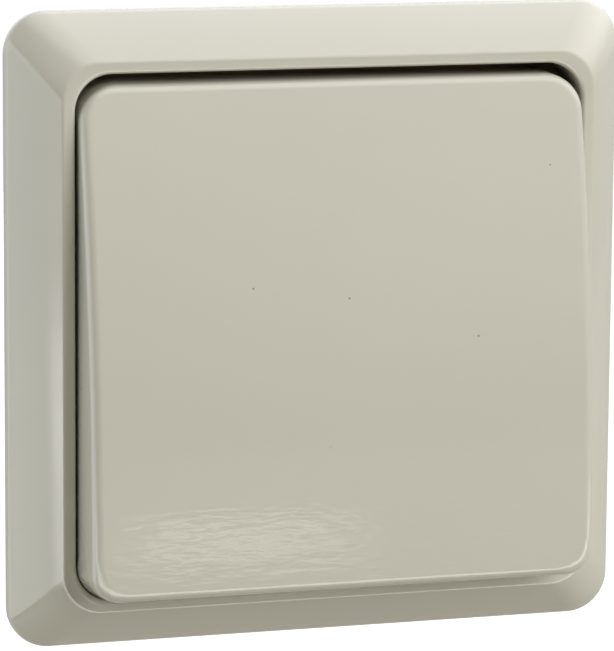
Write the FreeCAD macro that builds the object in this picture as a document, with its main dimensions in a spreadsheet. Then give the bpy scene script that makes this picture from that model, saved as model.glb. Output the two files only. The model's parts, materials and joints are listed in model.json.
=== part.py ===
import FreeCAD
import Part
import Sketcher
import math
import os
import re

# A flush wall push button: a cover frame and a rocker plate over a sprung insert.
# Every piece is drawn as it lies on the wall, X to the right, Y up and Z out of the wall,
# in millimetres, with the wall's face at Z = 0, and is then stood upright.

# Driving sizes: name, value, what it is
DRIVING = [
    ("frame_size", 80.5, "cover frame, outer width and height"),
    ("frame_corner", 5.3, "cover frame, outer corner radius"),
    ("rim_height", 0.8, "cover frame, upright rim at the wall"),
    ("rim_round", 1.0, "cover frame, rounding above the rim"),
    ("ridge_inset", 5.7, "cover frame, outer edge to ridge"),
    ("ridge_height", 8.3, "cover frame, ridge above the wall"),
    ("ridge_corner", 5.0, "cover frame, corner radius of the ridge"),
    ("ridge_round", 0.6, "cover frame, rounding of the ridge"),
    ("opening_inset", 7.2, "cover frame, outer edge to opening"),
    ("opening_corner", 4.7, "cover frame, corner radius of the opening"),
    ("lip_round", 0.5, "cover frame, rounding of the opening's edge"),
    ("frame_foot", 2.3, "cover frame, width of its foot on the wall"),
    ("hollow_height", 5.0, "cover frame, depth of the hollow behind"),
    ("collar_wall", 1.3, "cover frame, wall of the inner collar"),
    ("collar_gap", 0.3, "collar to support plate"),
    ("bead_reach", 0.5, "snap bead, how far it enters the tab"),
    ("bead_depth", 0.7, "snap bead, size out of the wall"),
    ("bead_width", 3.6, "snap bead, size along the collar"),
    ("side_gap", 0.75, "rocker plate to opening, left and right"),
    ("end_gap", 1.65, "rocker plate to opening, top and bottom"),
    ("edge_height", 12.5, "rocker plate's top and bottom edges above the wall, plate level"),
    ("crown", 2.1, "rocker plate, rise of the face between its ends"),
    ("plate_wall", 1.8, "rocker plate, wall"),
    ("plate_corner", 4.8, "rocker plate, corner radius"),
    ("plate_inner_corner", 3.0, "rocker plate, corner radius inside"),
    ("plate_round", 1.3, "rocker plate, rounding around the face"),
    ("skirt_top", 7.3, "rocker plate, skirt at the top edge"),
    ("skirt_bottom", 9.4, "rocker plate, skirt at the bottom edge"),
    ("rib_wall", 1.0, "rocker plate, stiffening rib"),
    ("rib_depth", 1.9, "rocker plate, rib below the face's wall"),
    ("cross_rib_place", 20.0, "rocker plate, cross rib from the axle"),
    ("long_rib_place", 22.0, "rocker plate, long rib from the middle"),
    ("rest_tilt", 6.6, "rocker at rest, top edge in, degrees"),
    ("press_angle", 9.0, "rocker, turn from rest to its stop, degrees"),
    ("axle_height", 7.0, "rocker axle above the wall"),
    ("axle_radius", 1.6, "rocker axle stub"),
    ("axle_clearance", 0.06, "axle stub to its bearing, on the radius"),
    ("bearing_wall", 2.2, "bearing post, thickness"),
    ("bearing_half", 4.0, "bearing post, half its width"),
    ("bearing_above", 2.6, "bearing post, above the axle"),
    ("bearing_throat", 2.8, "bearing, width of the snap-in throat"),
    ("cradle_gap", 0.5, "cradle to bearing posts, each side"),
    ("cradle_overhang", 0.6, "cradle, its upper and lower ends beyond the stops"),
    ("cradle_drop", 2.5, "cradle, underside below the axle"),
    ("cradle_wall", 2.0, "cradle, thickness"),
    ("rail_half", 8.0, "cradle rail, half its length"),
    ("rail_rise", 2.2, "cradle rail, top above the axle"),
    ("clip_place_y", 5.0, "snap leg, from the axle"),
    ("clip_wall", 1.4, "snap leg, thickness"),
    ("clip_width", 4.2, "snap leg, width"),
    ("clip_lip", 0.9, "snap leg, reach of its hook"),
    ("clip_hook", 1.2, "snap leg, height of its hook"),
    ("clip_play", 0.2, "snap leg to the cradle's window"),
    ("finger_margin", 4.1, "cradle's finger to the housing's end wall"),
    ("finger_radius", 1.2, "cradle's finger, rounded tip"),
    ("finger_drop", 3.0, "cradle's finger, tip centre behind the axle"),
    ("finger_half", 1.9, "cradle's finger, half its width"),
    ("stop_gap", 0.1, "cradle to its stops"),
    ("stop_half", 6.0, "rest stop, half its width"),
    ("stop_depth", 2.5, "stops, size up the wall"),
    ("press_stop_inner", 7.0, "press stops, inner end from the middle"),
    ("press_stop_outer", 12.0, "press stops, outer end from the middle"),
    ("stop_margin", 1.8, "stops, outer edge to the lid's end"),
    ("light_margin", 0.5, "cradle's middle window to the snap legs' windows"),
    ("carrier_corner", 6.0, "support plate, clipped corner"),
    ("carrier_sheet", 1.0, "support plate, sheet"),
    ("box_screw_margin", 5.5, "box screws to the support plate's edge, 60 apart with it"),
    ("box_slot_width", 3.6, "box screw slot, width"),
    ("box_slot_length", 6.6, "box screw slot, end to end"),
    ("tab_width", 8.0, "frame tab, width"),
    ("tab_place", 18.0, "frame tab, from the middle"),
    ("tab_rise", 2.3, "frame tab, above the support plate"),
    ("tab_play", 0.15, "tab to the collar, and to the frame's hollow"),
    ("tab_window_play", 0.15, "snap bead to the tab's window"),
    ("base_width", 39.0, "housing, width"),
    ("base_tall", 43.0, "housing, height"),
    ("base_depth", 22.0, "housing, depth behind the wall's face"),
    ("base_corner", 6.0, "housing, clipped corner"),
    ("base_round", 0.8, "housing, rounding of the rear edge"),
    ("base_side_wall", 2.3, "housing, side walls"),
    ("base_end_wall", 5.0, "housing, top and bottom walls"),
    ("base_floor", 3.5, "housing, rear wall"),
    ("rebate_step", 1.2, "housing, width and depth of the lid's seat"),
    ("lid_play", 0.3, "lid to the housing and the support plate"),
    ("flange_play", 0.2, "lid's flange in its seat"),
    ("flange_top_gap", 0.1, "lid's flange to the support plate"),
    ("lid_rise", 2.0, "lid's face above the wall"),
    ("lid_drop", 2.6, "lid's underside behind the wall's face"),
    ("lid_skin", 2.2, "lid, wall over its hollows"),
    ("lid_hollow_x", 4.5, "lid's hollows, inner side from the middle"),
    ("lid_hollow_wall", 3.4, "lid's hollows, outer side to the lid's side"),
    ("lid_hollow_low", -2.0, "lid's hollows, lower side"),
    ("lid_hollow_end", 2.2, "lid's hollows, upper side to the lid's end"),
    ("terminal_room", 8.6, "housing's side walls to the partitions' inner faces"),
    ("partition_wall", 1.0, "housing's partitions, wall"),
    ("partition_gap", 0.2, "housing's partitions to the lid"),
    ("rivet_place_x", 9.0, "rivets, from the middle"),
    ("rivet_margin", 2.1, "rivets, below the housing's upper and lower faces"),
    ("rivet_radius", 1.0, "rivet shank"),
    ("rivet_head", 1.9, "rivet head, radius"),
    ("rivet_head_rise", 0.7, "rivet head, height"),
    ("rivet_length", 6.0, "rivet shank behind the support plate"),
    ("rivet_play", 0.1, "rivet shank to its hole"),
    ("stem_half", 2.2, "plunger stem, half its width"),
    ("stem_play", 0.15, "plunger stem to its guide"),
    ("plunger_gap", 0.1, "plunger to the cradle's finger"),
    ("shoulder_half_x", 3.5, "plunger shoulder, half its width"),
    ("shoulder_half_y", 3.2, "plunger shoulder, half its height"),
    ("shoulder_thick", 1.0, "plunger shoulder, thickness"),
    ("shoulder_gap", 0.1, "plunger shoulder to the lid"),
    ("neck_half", 1.5, "plunger neck, half its width"),
    ("neck_length", 4.9, "plunger neck"),
    ("foot_half_x", 2.1, "plunger foot, half its width"),
    ("foot_thick", 0.8, "plunger foot, thickness"),
    ("spigot_radius", 1.1, "spigots inside the plunger spring"),
    ("spigot_length", 0.8, "spigots inside the plunger spring, length"),
    ("bridge_half", 7.4, "contact bridge, half its length"),
    ("bridge_width", 4.6, "contact bridge, width"),
    ("bridge_sheet", 0.5, "contact bridge, sheet"),
    ("bridge_bow", 0.6, "contact bridge, its ends below its middle"),
    ("bridge_flat", 2.7, "contact bridge, half its raised middle"),
    ("bridge_play", 0.1, "contact bridge to the plunger neck"),
    ("contact_place", 5.6, "contacts, from the middle"),
    ("contact_radius", 1.2, "contact buttons"),
    ("contact_thick", 0.7, "contact buttons, thickness"),
    ("contact_rest", 0.09, "contact buttons, gap left at full travel"),
    ("strip_sheet", 0.8, "contact strips, sheet"),
    ("strip_play", 0.2, "contact strips to the side walls"),
    ("tongue_half", 2.5, "contact strips, half the tongue's width"),
    ("tongue_end", 4.0, "contact strips, tongue's end from the middle"),
    ("strip_top", 5.0, "contact strips, upper edge behind the wall's face"),
    ("strip_margin", 4.9, "contact strips, far end to the housing's end wall"),
    ("strip_neck", 1.6, "contact strips, tongue to the clamp's part"),
    ("wire_margin", 7.1, "terminals, middle to the contact strips' far end"),
    ("wire_pitch", 9.0, "terminals, wire to wire"),
    ("wire_hole", 1.2, "conductor hole, radius"),
    ("wire_funnel", 2.0, "wire entry, radius"),
    ("wire_funnel_depth", 2.0, "wire entry, depth"),
    ("wire_gap", 0.1, "conductor hole to the strip"),
    ("clamp_sheet", 0.4, "clamp spring, sheet"),
    ("clamp_gap", 0.1, "clamp spring to what it leans on"),
    ("clamp_top", 4.6, "clamp spring, upper bend behind the wall's face"),
    ("clamp_shoulder", 2.2, "clamp spring, length of the upper bend"),
    ("clamp_tip_gap", 5.6, "clamp spring, clamping edge to the rear wall"),
    ("clamp_foot_gap", 1.5, "clamp spring, foot to the rear wall"),
    ("clamp_half", 6.1, "clamp spring, half its width"),
    ("clamp_bend", 0.9, "clamp spring, outer bend radius"),
    ("lever_wide", 2.4, "release lever, width"),
    ("lever_half", 1.5, "release lever, half its height"),
    ("lever_proud", 0.8, "release lever, out of the rear wall"),
    ("lever_play", 0.15, "release lever to its slot"),
    ("lever_flange", 0.8, "release lever, reach of its flange"),
    ("lever_flange_thick", 1.0, "release lever, thickness of its flange"),
    ("lever_spring_gap", 0.4, "release lever's tip to the clamp spring"),
    ("return_spring_margin", 6.4, "return spring to the cradle's finger"),
    ("return_spring_radius", 2.25, "return spring, wire's middle"),
    ("return_spring_wire", 0.3, "return spring, wire radius"),
    ("return_spring_turns", 3.0, "return spring, turns"),
    ("return_seat", 3.0, "return spring's seats, radius"),
    ("lid_seat_depth", 1.5, "return spring's seat in the lid"),
    ("cradle_seat_depth", 1.0, "return spring's seat in the cradle"),
    ("spring_gap", 0.05, "springs to their seats"),
    ("plunger_spring_radius", 1.55, "plunger spring, wire's middle"),
    ("plunger_spring_wire", 0.2, "plunger spring, wire radius"),
    ("plunger_spring_turns", 3.0, "plunger spring, turns"),
    ("plunger_spring_space", 5.2, "plunger spring, length at rest"),
    ("pedestal_radius", 2.6, "plunger spring's pedestal"),
    ("claw_row", 8.5, "claws, off the middle up or down the wall"),
    ("claw_sheet", 1.2, "claw, sheet"),
    ("claw_half", 5.0, "claw, half its width"),
    ("claw_place", 2.4, "claw's hinge, out from the housing"),
    ("claw_hinge_depth", 3.6, "claw's hinge behind the wall's face"),
    ("claw_arm", 16.0, "claw, hinge to the toe's rear face"),
    ("claw_toe", 4.0, "claw, reach of the toe"),
    ("claw_flange", 6.3, "claw, reach of the fork"),
    ("claw_fork_half", 3.2, "claw, half the fork's width"),
    ("claw_fork_root", 1.6, "claw, hinge to the fork's width step"),
    ("claw_slot_half", 1.65, "claw, half the slot in the fork"),
    ("claw_slot_start", 2.2, "claw, hinge to the slot in the fork"),
    ("claw_window_half", 2.1, "claw, half the window in the arm"),
    ("claw_window_start", 4.6, "claw, hinge to the window"),
    ("claw_window_end", 9.8, "claw, hinge to the window's end"),
    ("claw_tooth", 1.2, "claw, depth of the notches between its teeth"),
    ("claw_tooth_pitch", 2.5, "claw, notch to notch"),
    ("claw_bend", 1.5, "claw, outer bend radius"),
    ("claw_swing", 22.0, "claw, swing from rest, degrees"),
    ("lug_reach", 1.3, "claw's lugs, length"),
    ("lug_clearance", 0.05, "claw's lugs to the ears, on the radius"),
    ("ear_play", 0.2, "claw to the ears"),
    ("ear_half", 2.0, "ears, half their width"),
    ("claw_screw_arm", 4.0, "claw screw, out from the claw's hinge"),
    ("claw_screw_radius", 1.5, "claw screw, shank"),
    ("claw_screw_play", 0.08, "claw screw to the support plate, on the radius"),
    ("claw_screw_length", 12.5, "claw screw, under its head"),
    ("claw_head_radius", 2.75, "claw screw, head"),
    ("claw_head_rise", 1.9, "claw screw, height of its head"),
    ("claw_head_gap", 0.05, "claw screw's head to the support plate"),
    ("recess_half", 0.4, "claw screw, half the recess's width"),
    ("recess_reach", 1.7, "claw screw, half the recess's length"),
    ("recess_depth", 1.1, "claw screw, depth of the recess"),
    ("leaf_sheet", 0.3, "claw spring, sheet"),
    ("leaf_half", 2.9, "claw spring, half its width"),
    ("leaf_flat", 1.9, "claw spring, half its flat top"),
    ("leaf_foot", 2.5, "claw spring, foot from the screw"),
    ("leaf_hole", 1.7, "claw spring, hole radius"),
    ("leaf_gap", 0.05, "claw spring to what it leans on"),
]

# Places worked out from the driving sizes: name, formula
DERIVED = [
    ("frame_half", "frame_size / 2"),
    ("ridge_half", "frame_half - ridge_inset"),
    ("opening_half", "frame_half - opening_inset"),
    ("collar_half", "opening_half + collar_wall"),
    ("collar_foot", "carrier_sheet + collar_gap"),
    ("foot_half", "frame_half - frame_foot"),
    ("hollow_half", "collar_half + tab_play"),
    ("carrier_half", "collar_half + tab_play + carrier_sheet"),
    ("collar_corner", "opening_corner + collar_wall"),
    ("bead_low", "carrier_sheet + tab_rise / 2 - bead_depth / 2"),
    ("bead_high", "bead_low + bead_depth"),
    ("plate_half_x", "opening_half - side_gap"),
    ("plate_half_y", "opening_half - end_gap"),
    ("plate_edge", "edge_height - axle_height"),
    ("face_radius", "(plate_half_y * plate_half_y + crown * crown) / (2 * crown)"),
    ("face_centre", "plate_edge + crown - face_radius"),
    ("inner_half_x", "plate_half_x - plate_wall"),
    ("inner_half_y", "plate_half_y - plate_wall"),
    ("inner_radius", "face_radius - plate_wall"),
    ("inner_top", "plate_edge + crown - plate_wall"),
    ("inner_edge", "face_centre + sqrt(inner_radius * inner_radius - inner_half_y * inner_half_y)"),
    ("inner_foot", "plate_edge - skirt_bottom - plate_wall"),
    ("inner_cross", "face_centre + sqrt(inner_radius * inner_radius - cross_rib_place * cross_rib_place)"),
    ("base_half_x", "base_width / 2"),
    ("base_half_y", "base_tall / 2"),
    ("room_half_x", "base_half_x - base_side_wall"),
    ("room_half_y", "base_half_y - base_end_wall"),
    ("room_floor", "base_floor - base_depth"),
    ("seat_half_x", "room_half_x + rebate_step"),
    ("seat_half_y", "room_half_y + rebate_step"),
    ("block_half_x", "room_half_x - lid_play"),
    ("block_half_y", "room_half_y - lid_play"),
    ("flange_half_x", "seat_half_x - flange_play"),
    ("flange_half_y", "seat_half_y - flange_play"),
    ("stop_reach", "block_half_y - stop_margin"),
    ("cradle_half_height", "stop_reach + cradle_overhang"),
    ("finger_arm", "room_half_y - finger_margin"),
    ("return_spring_place", "finger_arm - return_spring_margin"),
    ("lid_hollow_side", "block_half_x - lid_hollow_wall"),
    ("lid_hollow_high", "block_half_y - lid_hollow_end"),
    ("partition_place", "room_half_x - terminal_room"),
    ("strip_end", "room_half_y - strip_margin"),
    ("wire_row", "strip_end - wire_margin"),
    ("clamp_tip", "-room_floor - clamp_tip_gap"),
    ("clamp_foot", "-room_floor - clamp_foot_gap"),
    ("post_outer", "block_half_x - lid_play"),
    ("post_inner", "post_outer - bearing_wall"),
    ("post_top", "axle_height + bearing_above"),
    ("bore_radius", "axle_radius + axle_clearance"),
    ("cradle_half_x", "post_inner - cradle_gap"),
    ("cradle_skin", "cradle_wall - cradle_drop"),
    ("rail_inner", "cradle_half_x - cradle_wall"),
    ("clip_place_x", "rail_inner - clip_lip - clip_wall / 2"),
    ("light_half", "clip_place_x - clip_wall / 2 - clip_lip - clip_play - light_margin"),
    ("tilt_cos", "cos(rest_tilt)"),
    ("tilt_sin", "sin(rest_tilt)"),
    ("press_tilt", "press_angle - rest_tilt"),
    ("plunger_travel",
     "finger_arm * (tilt_sin + sin(press_tilt)) + finger_drop * (cos(press_tilt) - tilt_cos)"),
    ("rest_stop_arm", "(stop_reach + cradle_drop * tilt_sin) / tilt_cos"),
    ("rest_stop_top", "axle_height - cradle_drop * tilt_cos - rest_stop_arm * tilt_sin - stop_gap"),
    ("press_stop_arm", "(stop_reach + cradle_drop * sin(press_tilt)) / cos(press_tilt)"),
    ("press_stop_top",
     "axle_height - cradle_drop * cos(press_tilt) - press_stop_arm * sin(press_tilt) - stop_gap"),
    ("finger_rest_height", "axle_height - finger_drop * tilt_cos + finger_arm * tilt_sin - finger_radius"),
    ("plunger_row", "-(finger_arm * tilt_cos)"),
    ("stem_top", "finger_rest_height - plunger_gap"),
    ("shoulder_top", "-(lid_drop + shoulder_gap)"),
    ("neck_top", "shoulder_top - shoulder_thick"),
    ("foot_top", "neck_top - neck_length"),
    ("foot_bottom", "foot_top - foot_thick"),
    ("bridge_end", "foot_top - bridge_bow"),
    ("button_low", "bridge_end - contact_thick"),
    ("fixed_top", "button_low - plunger_travel - contact_rest"),
    ("tongue_top", "fixed_top - contact_thick"),
    ("tongue_low", "tongue_top - strip_sheet"),
    ("pedestal_top", "foot_bottom - plunger_spring_space"),
    ("strip_outer", "room_half_x - strip_play"),
    ("strip_inner", "strip_outer - strip_sheet"),
    ("tongue_near", "plunger_row + tongue_half"),
    ("tongue_far", "plunger_row - tongue_half"),
    ("wire_x", "strip_inner - wire_hole - wire_gap"),
    ("clamp_inner", "partition_place + partition_wall + clamp_gap"),
    ("clamp_edge", "strip_inner - clamp_gap"),
    ("clamp_corner", "clamp_inner + clamp_shoulder"),
    ("clamp_slope", "(clamp_tip - clamp_top) / (clamp_edge - clamp_corner)"),
    ("lever_outer", "wire_x + lever_wide / 2"),
    ("lever_inner", "wire_x - lever_wide / 2"),
    ("lever_tip_deep", "clamp_top + clamp_sheet + clamp_slope * (lever_outer - clamp_corner + clamp_sheet)"),
    ("lever_tip_outer", "-(lever_tip_deep + lever_spring_gap)"),
    ("lever_tip_inner", "lever_tip_outer + clamp_slope * lever_wide"),
    ("lever_flange_low", "room_floor + lever_play"),
    ("tab_top", "carrier_sheet + tab_rise"),
    ("box_screw_half", "carrier_half - box_screw_margin"),
    ("box_slot_radius", "box_slot_width / 2"),
    ("box_slot_run", "box_slot_length / 2 - box_slot_radius"),
    ("rivet_row", "base_half_y - rivet_margin"),
    ("rivet_bore", "rivet_radius + rivet_play"),
    ("claw_x", "base_half_x + claw_place"),
    ("claw_front", "claw_sheet / 2 - claw_hinge_depth"),
    ("claw_back", "-(claw_sheet / 2) - claw_hinge_depth"),
    ("claw_near", "claw_x - claw_sheet / 2"),
    ("claw_far", "claw_x + claw_sheet / 2"),
    ("claw_end", "-(claw_hinge_depth + claw_arm)"),
    ("lug_radius", "claw_sheet / 2 * sqrt(2)"),
    ("ear_bore", "lug_radius + lug_clearance"),
    ("ear_inner", "claw_half + ear_play"),
    ("ear_outer", "ear_inner + carrier_sheet"),
    ("ear_foot", "-(claw_hinge_depth + ear_half)"),
    ("claw_screw_x", "claw_x + claw_screw_arm"),
    ("claw_screw_bore", "claw_screw_radius + claw_screw_play"),
    ("claw_head_low", "carrier_sheet + claw_head_gap"),
    ("claw_head_top", "claw_head_low + claw_head_rise"),
    ("return_spring_low", "lid_rise - lid_seat_depth + spring_gap"),
    ("cradle_seat", "cradle_seat_depth - cradle_drop"),
    ("return_spring_high",
     "axle_height + cradle_seat * tilt_cos + (return_spring_place - return_seat) * tilt_sin - spring_gap"),
]

document = FreeCAD.newDocument("PushButtonSwitch")
sizes = document.addObject("Spreadsheet::Sheet", "Sizes")
places = document.addObject("Spreadsheet::Sheet", "Places")
SAME_PLACE = 0.0001
BOX_SLACK = 0.001
DRIVING_NAMES = {row[0] for row in DRIVING}
DERIVED_NAMES = {row[0] for row in DERIVED}
finished = {}


def bound(formula):
    """The formula with each size's name led by its sheet's name."""
    def lead(match):
        word = match.group(0)
        if word in DRIVING_NAMES:
            return "Sizes." + word
        if word in DERIVED_NAMES:
            return "Places." + word
        return word
    return re.sub(r"[a-z][a-z_]*", lead, formula)


def size(name):
    """The present value of a size or a place."""
    sheet = sizes if name in DRIVING_NAMES else places
    return float(getattr(sheet, name))


def fill_sheets():
    for row, (name, number, note) in enumerate(DRIVING, start=1):
        sizes.set("A%d" % row, note)
        sizes.set("B%d" % row, str(number))
        sizes.setAlias("B%d" % row, name)
    document.recompute()
    for row, (name, formula) in enumerate(DERIVED, start=1):
        places.setAlias("B%d" % row, name)
        places.set("B%d" % row, "=" + bound(formula))
    document.recompute()


def stand(piece, half_turn=False):
    """Turns a drawn piece upright, and half round about the switch's middle if asked."""
    upright = FreeCAD.Rotation(FreeCAD.Vector(1, 0, 0), 90)
    if half_turn:
        upright = FreeCAD.Rotation(FreeCAD.Vector(0, 1, 0), 180).multiply(upright)
    piece.Placement = FreeCAD.Placement(FreeCAD.Vector(0, 0, 0), upright)


def stand_on_axle(piece):
    """Hangs a piece that is drawn about the axle on it, tilted as it rests."""
    upright = FreeCAD.Rotation(FreeCAD.Vector(1, 0, 0), 90)
    piece.Placement = FreeCAD.Placement(FreeCAD.Vector(0, 0, 0), upright)
    piece.setExpression("Placement.Base.y", bound("-axle_height"))
    piece.setExpression("Placement.Rotation.Angle", bound("90 - rest_tilt"))


def new_body(name):
    body = document.addObject("PartDesign::Body", name)
    body.Label = name
    return body


def sketch_on(body, plane, low, high):
    """A sketch on one of the body's own planes, where an extrusion from low to high starts."""
    sketch = body.newObject("Sketcher::SketchObject", "Outline")
    support = [item for item in body.Origin.OriginFeatures if item.Role == plane][0]
    sketch.AttachmentSupport = (support, [""])
    sketch.MapMode = "FlatFace"
    start = "-(" + high + ")" if plane == "XZ_Plane" else low
    sketch.setExpression("AttachmentOffset.Base.z", bound(start))
    return sketch


def pin(sketch, line, end, across, up):
    """Ties a line's end to its place across and up the sketch."""
    here = sketch.getPoint(line, end)
    for kind, formula, start in (("DistanceX", across, here.x), ("DistanceY", up, here.y)):
        number = sketch.addConstraint(Sketcher.Constraint(kind, -1, 1, line, end, start))
        sketch.setExpression("Constraints[%d]" % number, bound(formula))


def outline(sketch, corners):
    """A closed outline of straight lines through the corners."""
    count = len(corners)
    first = sketch.GeometryCount
    ring = []
    for step in range(count):
        turn = 2 * math.pi * step / count
        ring.append(FreeCAD.Vector(math.cos(turn), math.sin(turn), 0))
    for step in range(count):
        sketch.addGeometry(Part.LineSegment(ring[step], ring[(step + 1) % count]), False)
    for step in range(count):
        following = first + (step + 1) % count
        sketch.addConstraint(Sketcher.Constraint("Coincident", first + step, 2, following, 1))
    for step, (across, up) in enumerate(corners):
        pin(sketch, first + step, 1, across, up)


def rectangle(left, low, right, high):
    return [(left, low), (right, low), (right, high), (left, high)]


def octagon(half_x, half_y, cut):
    """An upright rectangle about the origin with clipped corners."""
    corners = []
    for sign_x, sign_y in ((1, 1), (-1, 1), (-1, -1), (1, -1)):
        near_x = (signed(sign_x, half_x + " - " + cut), signed(sign_y, half_y))
        near_y = (signed(sign_x, half_x), signed(sign_y, half_y + " - " + cut))
        corners += [near_y, near_x] if sign_x * sign_y > 0 else [near_x, near_y]
    return corners


def signed(sign, formula):
    return "(" + formula + ")" if sign > 0 else "-(" + formula + ")"


def mirrored(sign, corners):
    """The corners, on the side of the middle that the sign gives."""
    return [(signed(sign, across), up) for across, up in corners]


def ring(sketch, across, up, radius):
    circle = sketch.addGeometry(Part.Circle(FreeCAD.Vector(1, 1, 0), FreeCAD.Vector(0, 0, 1), 1), False)
    pin(sketch, circle, 3, across, up)
    number = sketch.addConstraint(Sketcher.Constraint("Radius", circle, 1.0))
    sketch.setExpression("Constraints[%d]" % number, bound(radius))


def rounded_square(sketch, half, corner):
    """A square about the origin with rounded corners; half and corner are names of sizes."""
    reach = size(half)
    radius = size(corner)
    core = reach - radius
    first = sketch.GeometryCount
    for quarter in range(4):
        turn = quarter * math.pi / 2
        spin = FreeCAD.Rotation(FreeCAD.Vector(0, 0, 1), quarter * 90)
        start = spin.multVec(FreeCAD.Vector(reach, -core, 0))
        end = spin.multVec(FreeCAD.Vector(reach, core, 0))
        middle = spin.multVec(FreeCAD.Vector(core, core, 0))
        sketch.addGeometry(Part.LineSegment(start, end), False)
        whole = Part.Circle(middle, FreeCAD.Vector(0, 0, 1), radius)
        sketch.addGeometry(Part.ArcOfCircle(whole, turn, turn + math.pi / 2), False)
    for quarter in range(4):
        line = first + 2 * quarter
        arc = line + 1
        following = first + (2 * quarter + 2) % 8
        sketch.addConstraint(Sketcher.Constraint("Tangent", line, 2, arc, 1))
        sketch.addConstraint(Sketcher.Constraint("Tangent", arc, 2, following, 1))
        upright = "Vertical" if quarter % 2 == 0 else "Horizontal"
        sketch.addConstraint(Sketcher.Constraint(upright, line))
        kind = "DistanceX" if quarter % 2 == 0 else "DistanceY"
        sign = 1 if quarter < 2 else -1
        number = sketch.addConstraint(Sketcher.Constraint(kind, -1, 1, line, 1, sign * reach))
        sketch.setExpression("Constraints[%d]" % number, bound(signed(sign, half)))
        number = sketch.addConstraint(Sketcher.Constraint("Radius", arc, radius))
        sketch.setExpression("Constraints[%d]" % number, bound(corner))


def radial_slot(sketch, sign):
    """A box screw slot with round ends on one side of the middle, running outwards."""
    radius = size("box_slot_radius")
    rise = FreeCAD.Vector(0, sign * radius, 0)
    near = FreeCAD.Vector(sign * (size("box_screw_half") - size("box_slot_run")), 0, 0)
    far = FreeCAD.Vector(sign * (size("box_screw_half") + size("box_slot_run")), 0, 0)
    turn = sign * math.pi / 2
    normal = FreeCAD.Vector(0, 0, 1)
    first = sketch.GeometryCount
    sketch.addGeometry(Part.LineSegment(near + rise, far + rise), False)
    sketch.addGeometry(Part.ArcOfCircle(Part.Circle(far, normal, radius), turn - math.pi, turn), False)
    sketch.addGeometry(Part.LineSegment(far - rise, near - rise), False)
    sketch.addGeometry(Part.ArcOfCircle(Part.Circle(near, normal, radius), turn, turn + math.pi), False)
    for one, one_end, other, other_end in ((0, 2, 1, 2), (2, 1, 1, 1), (2, 2, 3, 2), (0, 1, 3, 1)):
        sketch.addConstraint(Sketcher.Constraint("Tangent", first + one, one_end, first + other, other_end))
    number = sketch.addConstraint(Sketcher.Constraint("Radius", first + 1, radius))
    sketch.setExpression("Constraints[%d]" % number, bound("box_slot_radius"))
    pin(sketch, first + 1, 3, signed(sign, "box_screw_half + box_slot_run"), "0")
    pin(sketch, first + 3, 3, signed(sign, "box_screw_half - box_slot_run"), "0")


def extrude(body, sketch, low, high, cut=False):
    """Adds or cuts the sketch's outline from low to high, and checks that it changed the body."""
    before = body.Tip.Shape.Volume if body.Tip else 0.0
    feature = body.newObject("PartDesign::Pocket" if cut else "PartDesign::Pad", "Cut" if cut else "Block")
    feature.Profile = sketch
    feature.Type = 0
    feature.Reversed = cut
    feature.setExpression("Length", bound("(" + high + ") - (" + low + ")"))
    sketch.Visibility = False
    document.recompute()
    after = feature.Shape.Volume
    if (after >= before) if cut else (after <= before):
        raise RuntimeError("a step changed nothing in " + body.Label + ": " + low + " to " + high)
    return feature


def block(body, plane, corners, low, high, cut=False):
    sketch = sketch_on(body, plane, low, high)
    outline(sketch, corners)
    return extrude(body, sketch, low, high, cut)


def rod(body, plane, centres, radius, low, high, cut=False):
    sketch = sketch_on(body, plane, low, high)
    for across, up in centres:
        ring(sketch, across, up, radius)
    return extrude(body, sketch, low, high, cut)


def blend_edges(body, wanted, radius):
    """Rounds the edges that the wanted test picks."""
    base = body.Tip
    names = ["Edge%d" % (n + 1) for n, edge in enumerate(base.Shape.Edges) if wanted(edge)]
    if not names:
        raise RuntimeError("no edge to round in " + body.Label)
    feature = body.newObject("PartDesign::Fillet", "Rounding")
    feature.Base = (base, names)
    feature.setExpression("Radius", bound(radius))
    document.recompute()
    return feature


def close(one, other):
    return abs(one - other) < SAME_PLACE


def along(edge, axis):
    """True for a straight edge that runs along the named axis."""
    if edge.Curve.TypeId != "Part::GeomLine" or len(edge.Vertexes) != 2:
        return False
    direction = edge.Vertexes[1].Point - edge.Vertexes[0].Point
    return close(abs(getattr(direction, axis)), direction.Length)


def at_level(edge, level):
    """True for an edge that lies wholly at that height above the wall."""
    box = edge.BoundBox
    return close(box.ZMin, level) and close(box.ZMax, level)


def rivet_places():
    """The four rivets, two above and two below the opening for the lid."""
    corners = [(1, 1), (1, -1), (-1, 1), (-1, -1)]
    return [(signed(side, "rivet_place_x"), signed(level, "rivet_row")) for side, level in corners]


def keep(piece):
    finished[piece.Label] = piece


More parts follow.
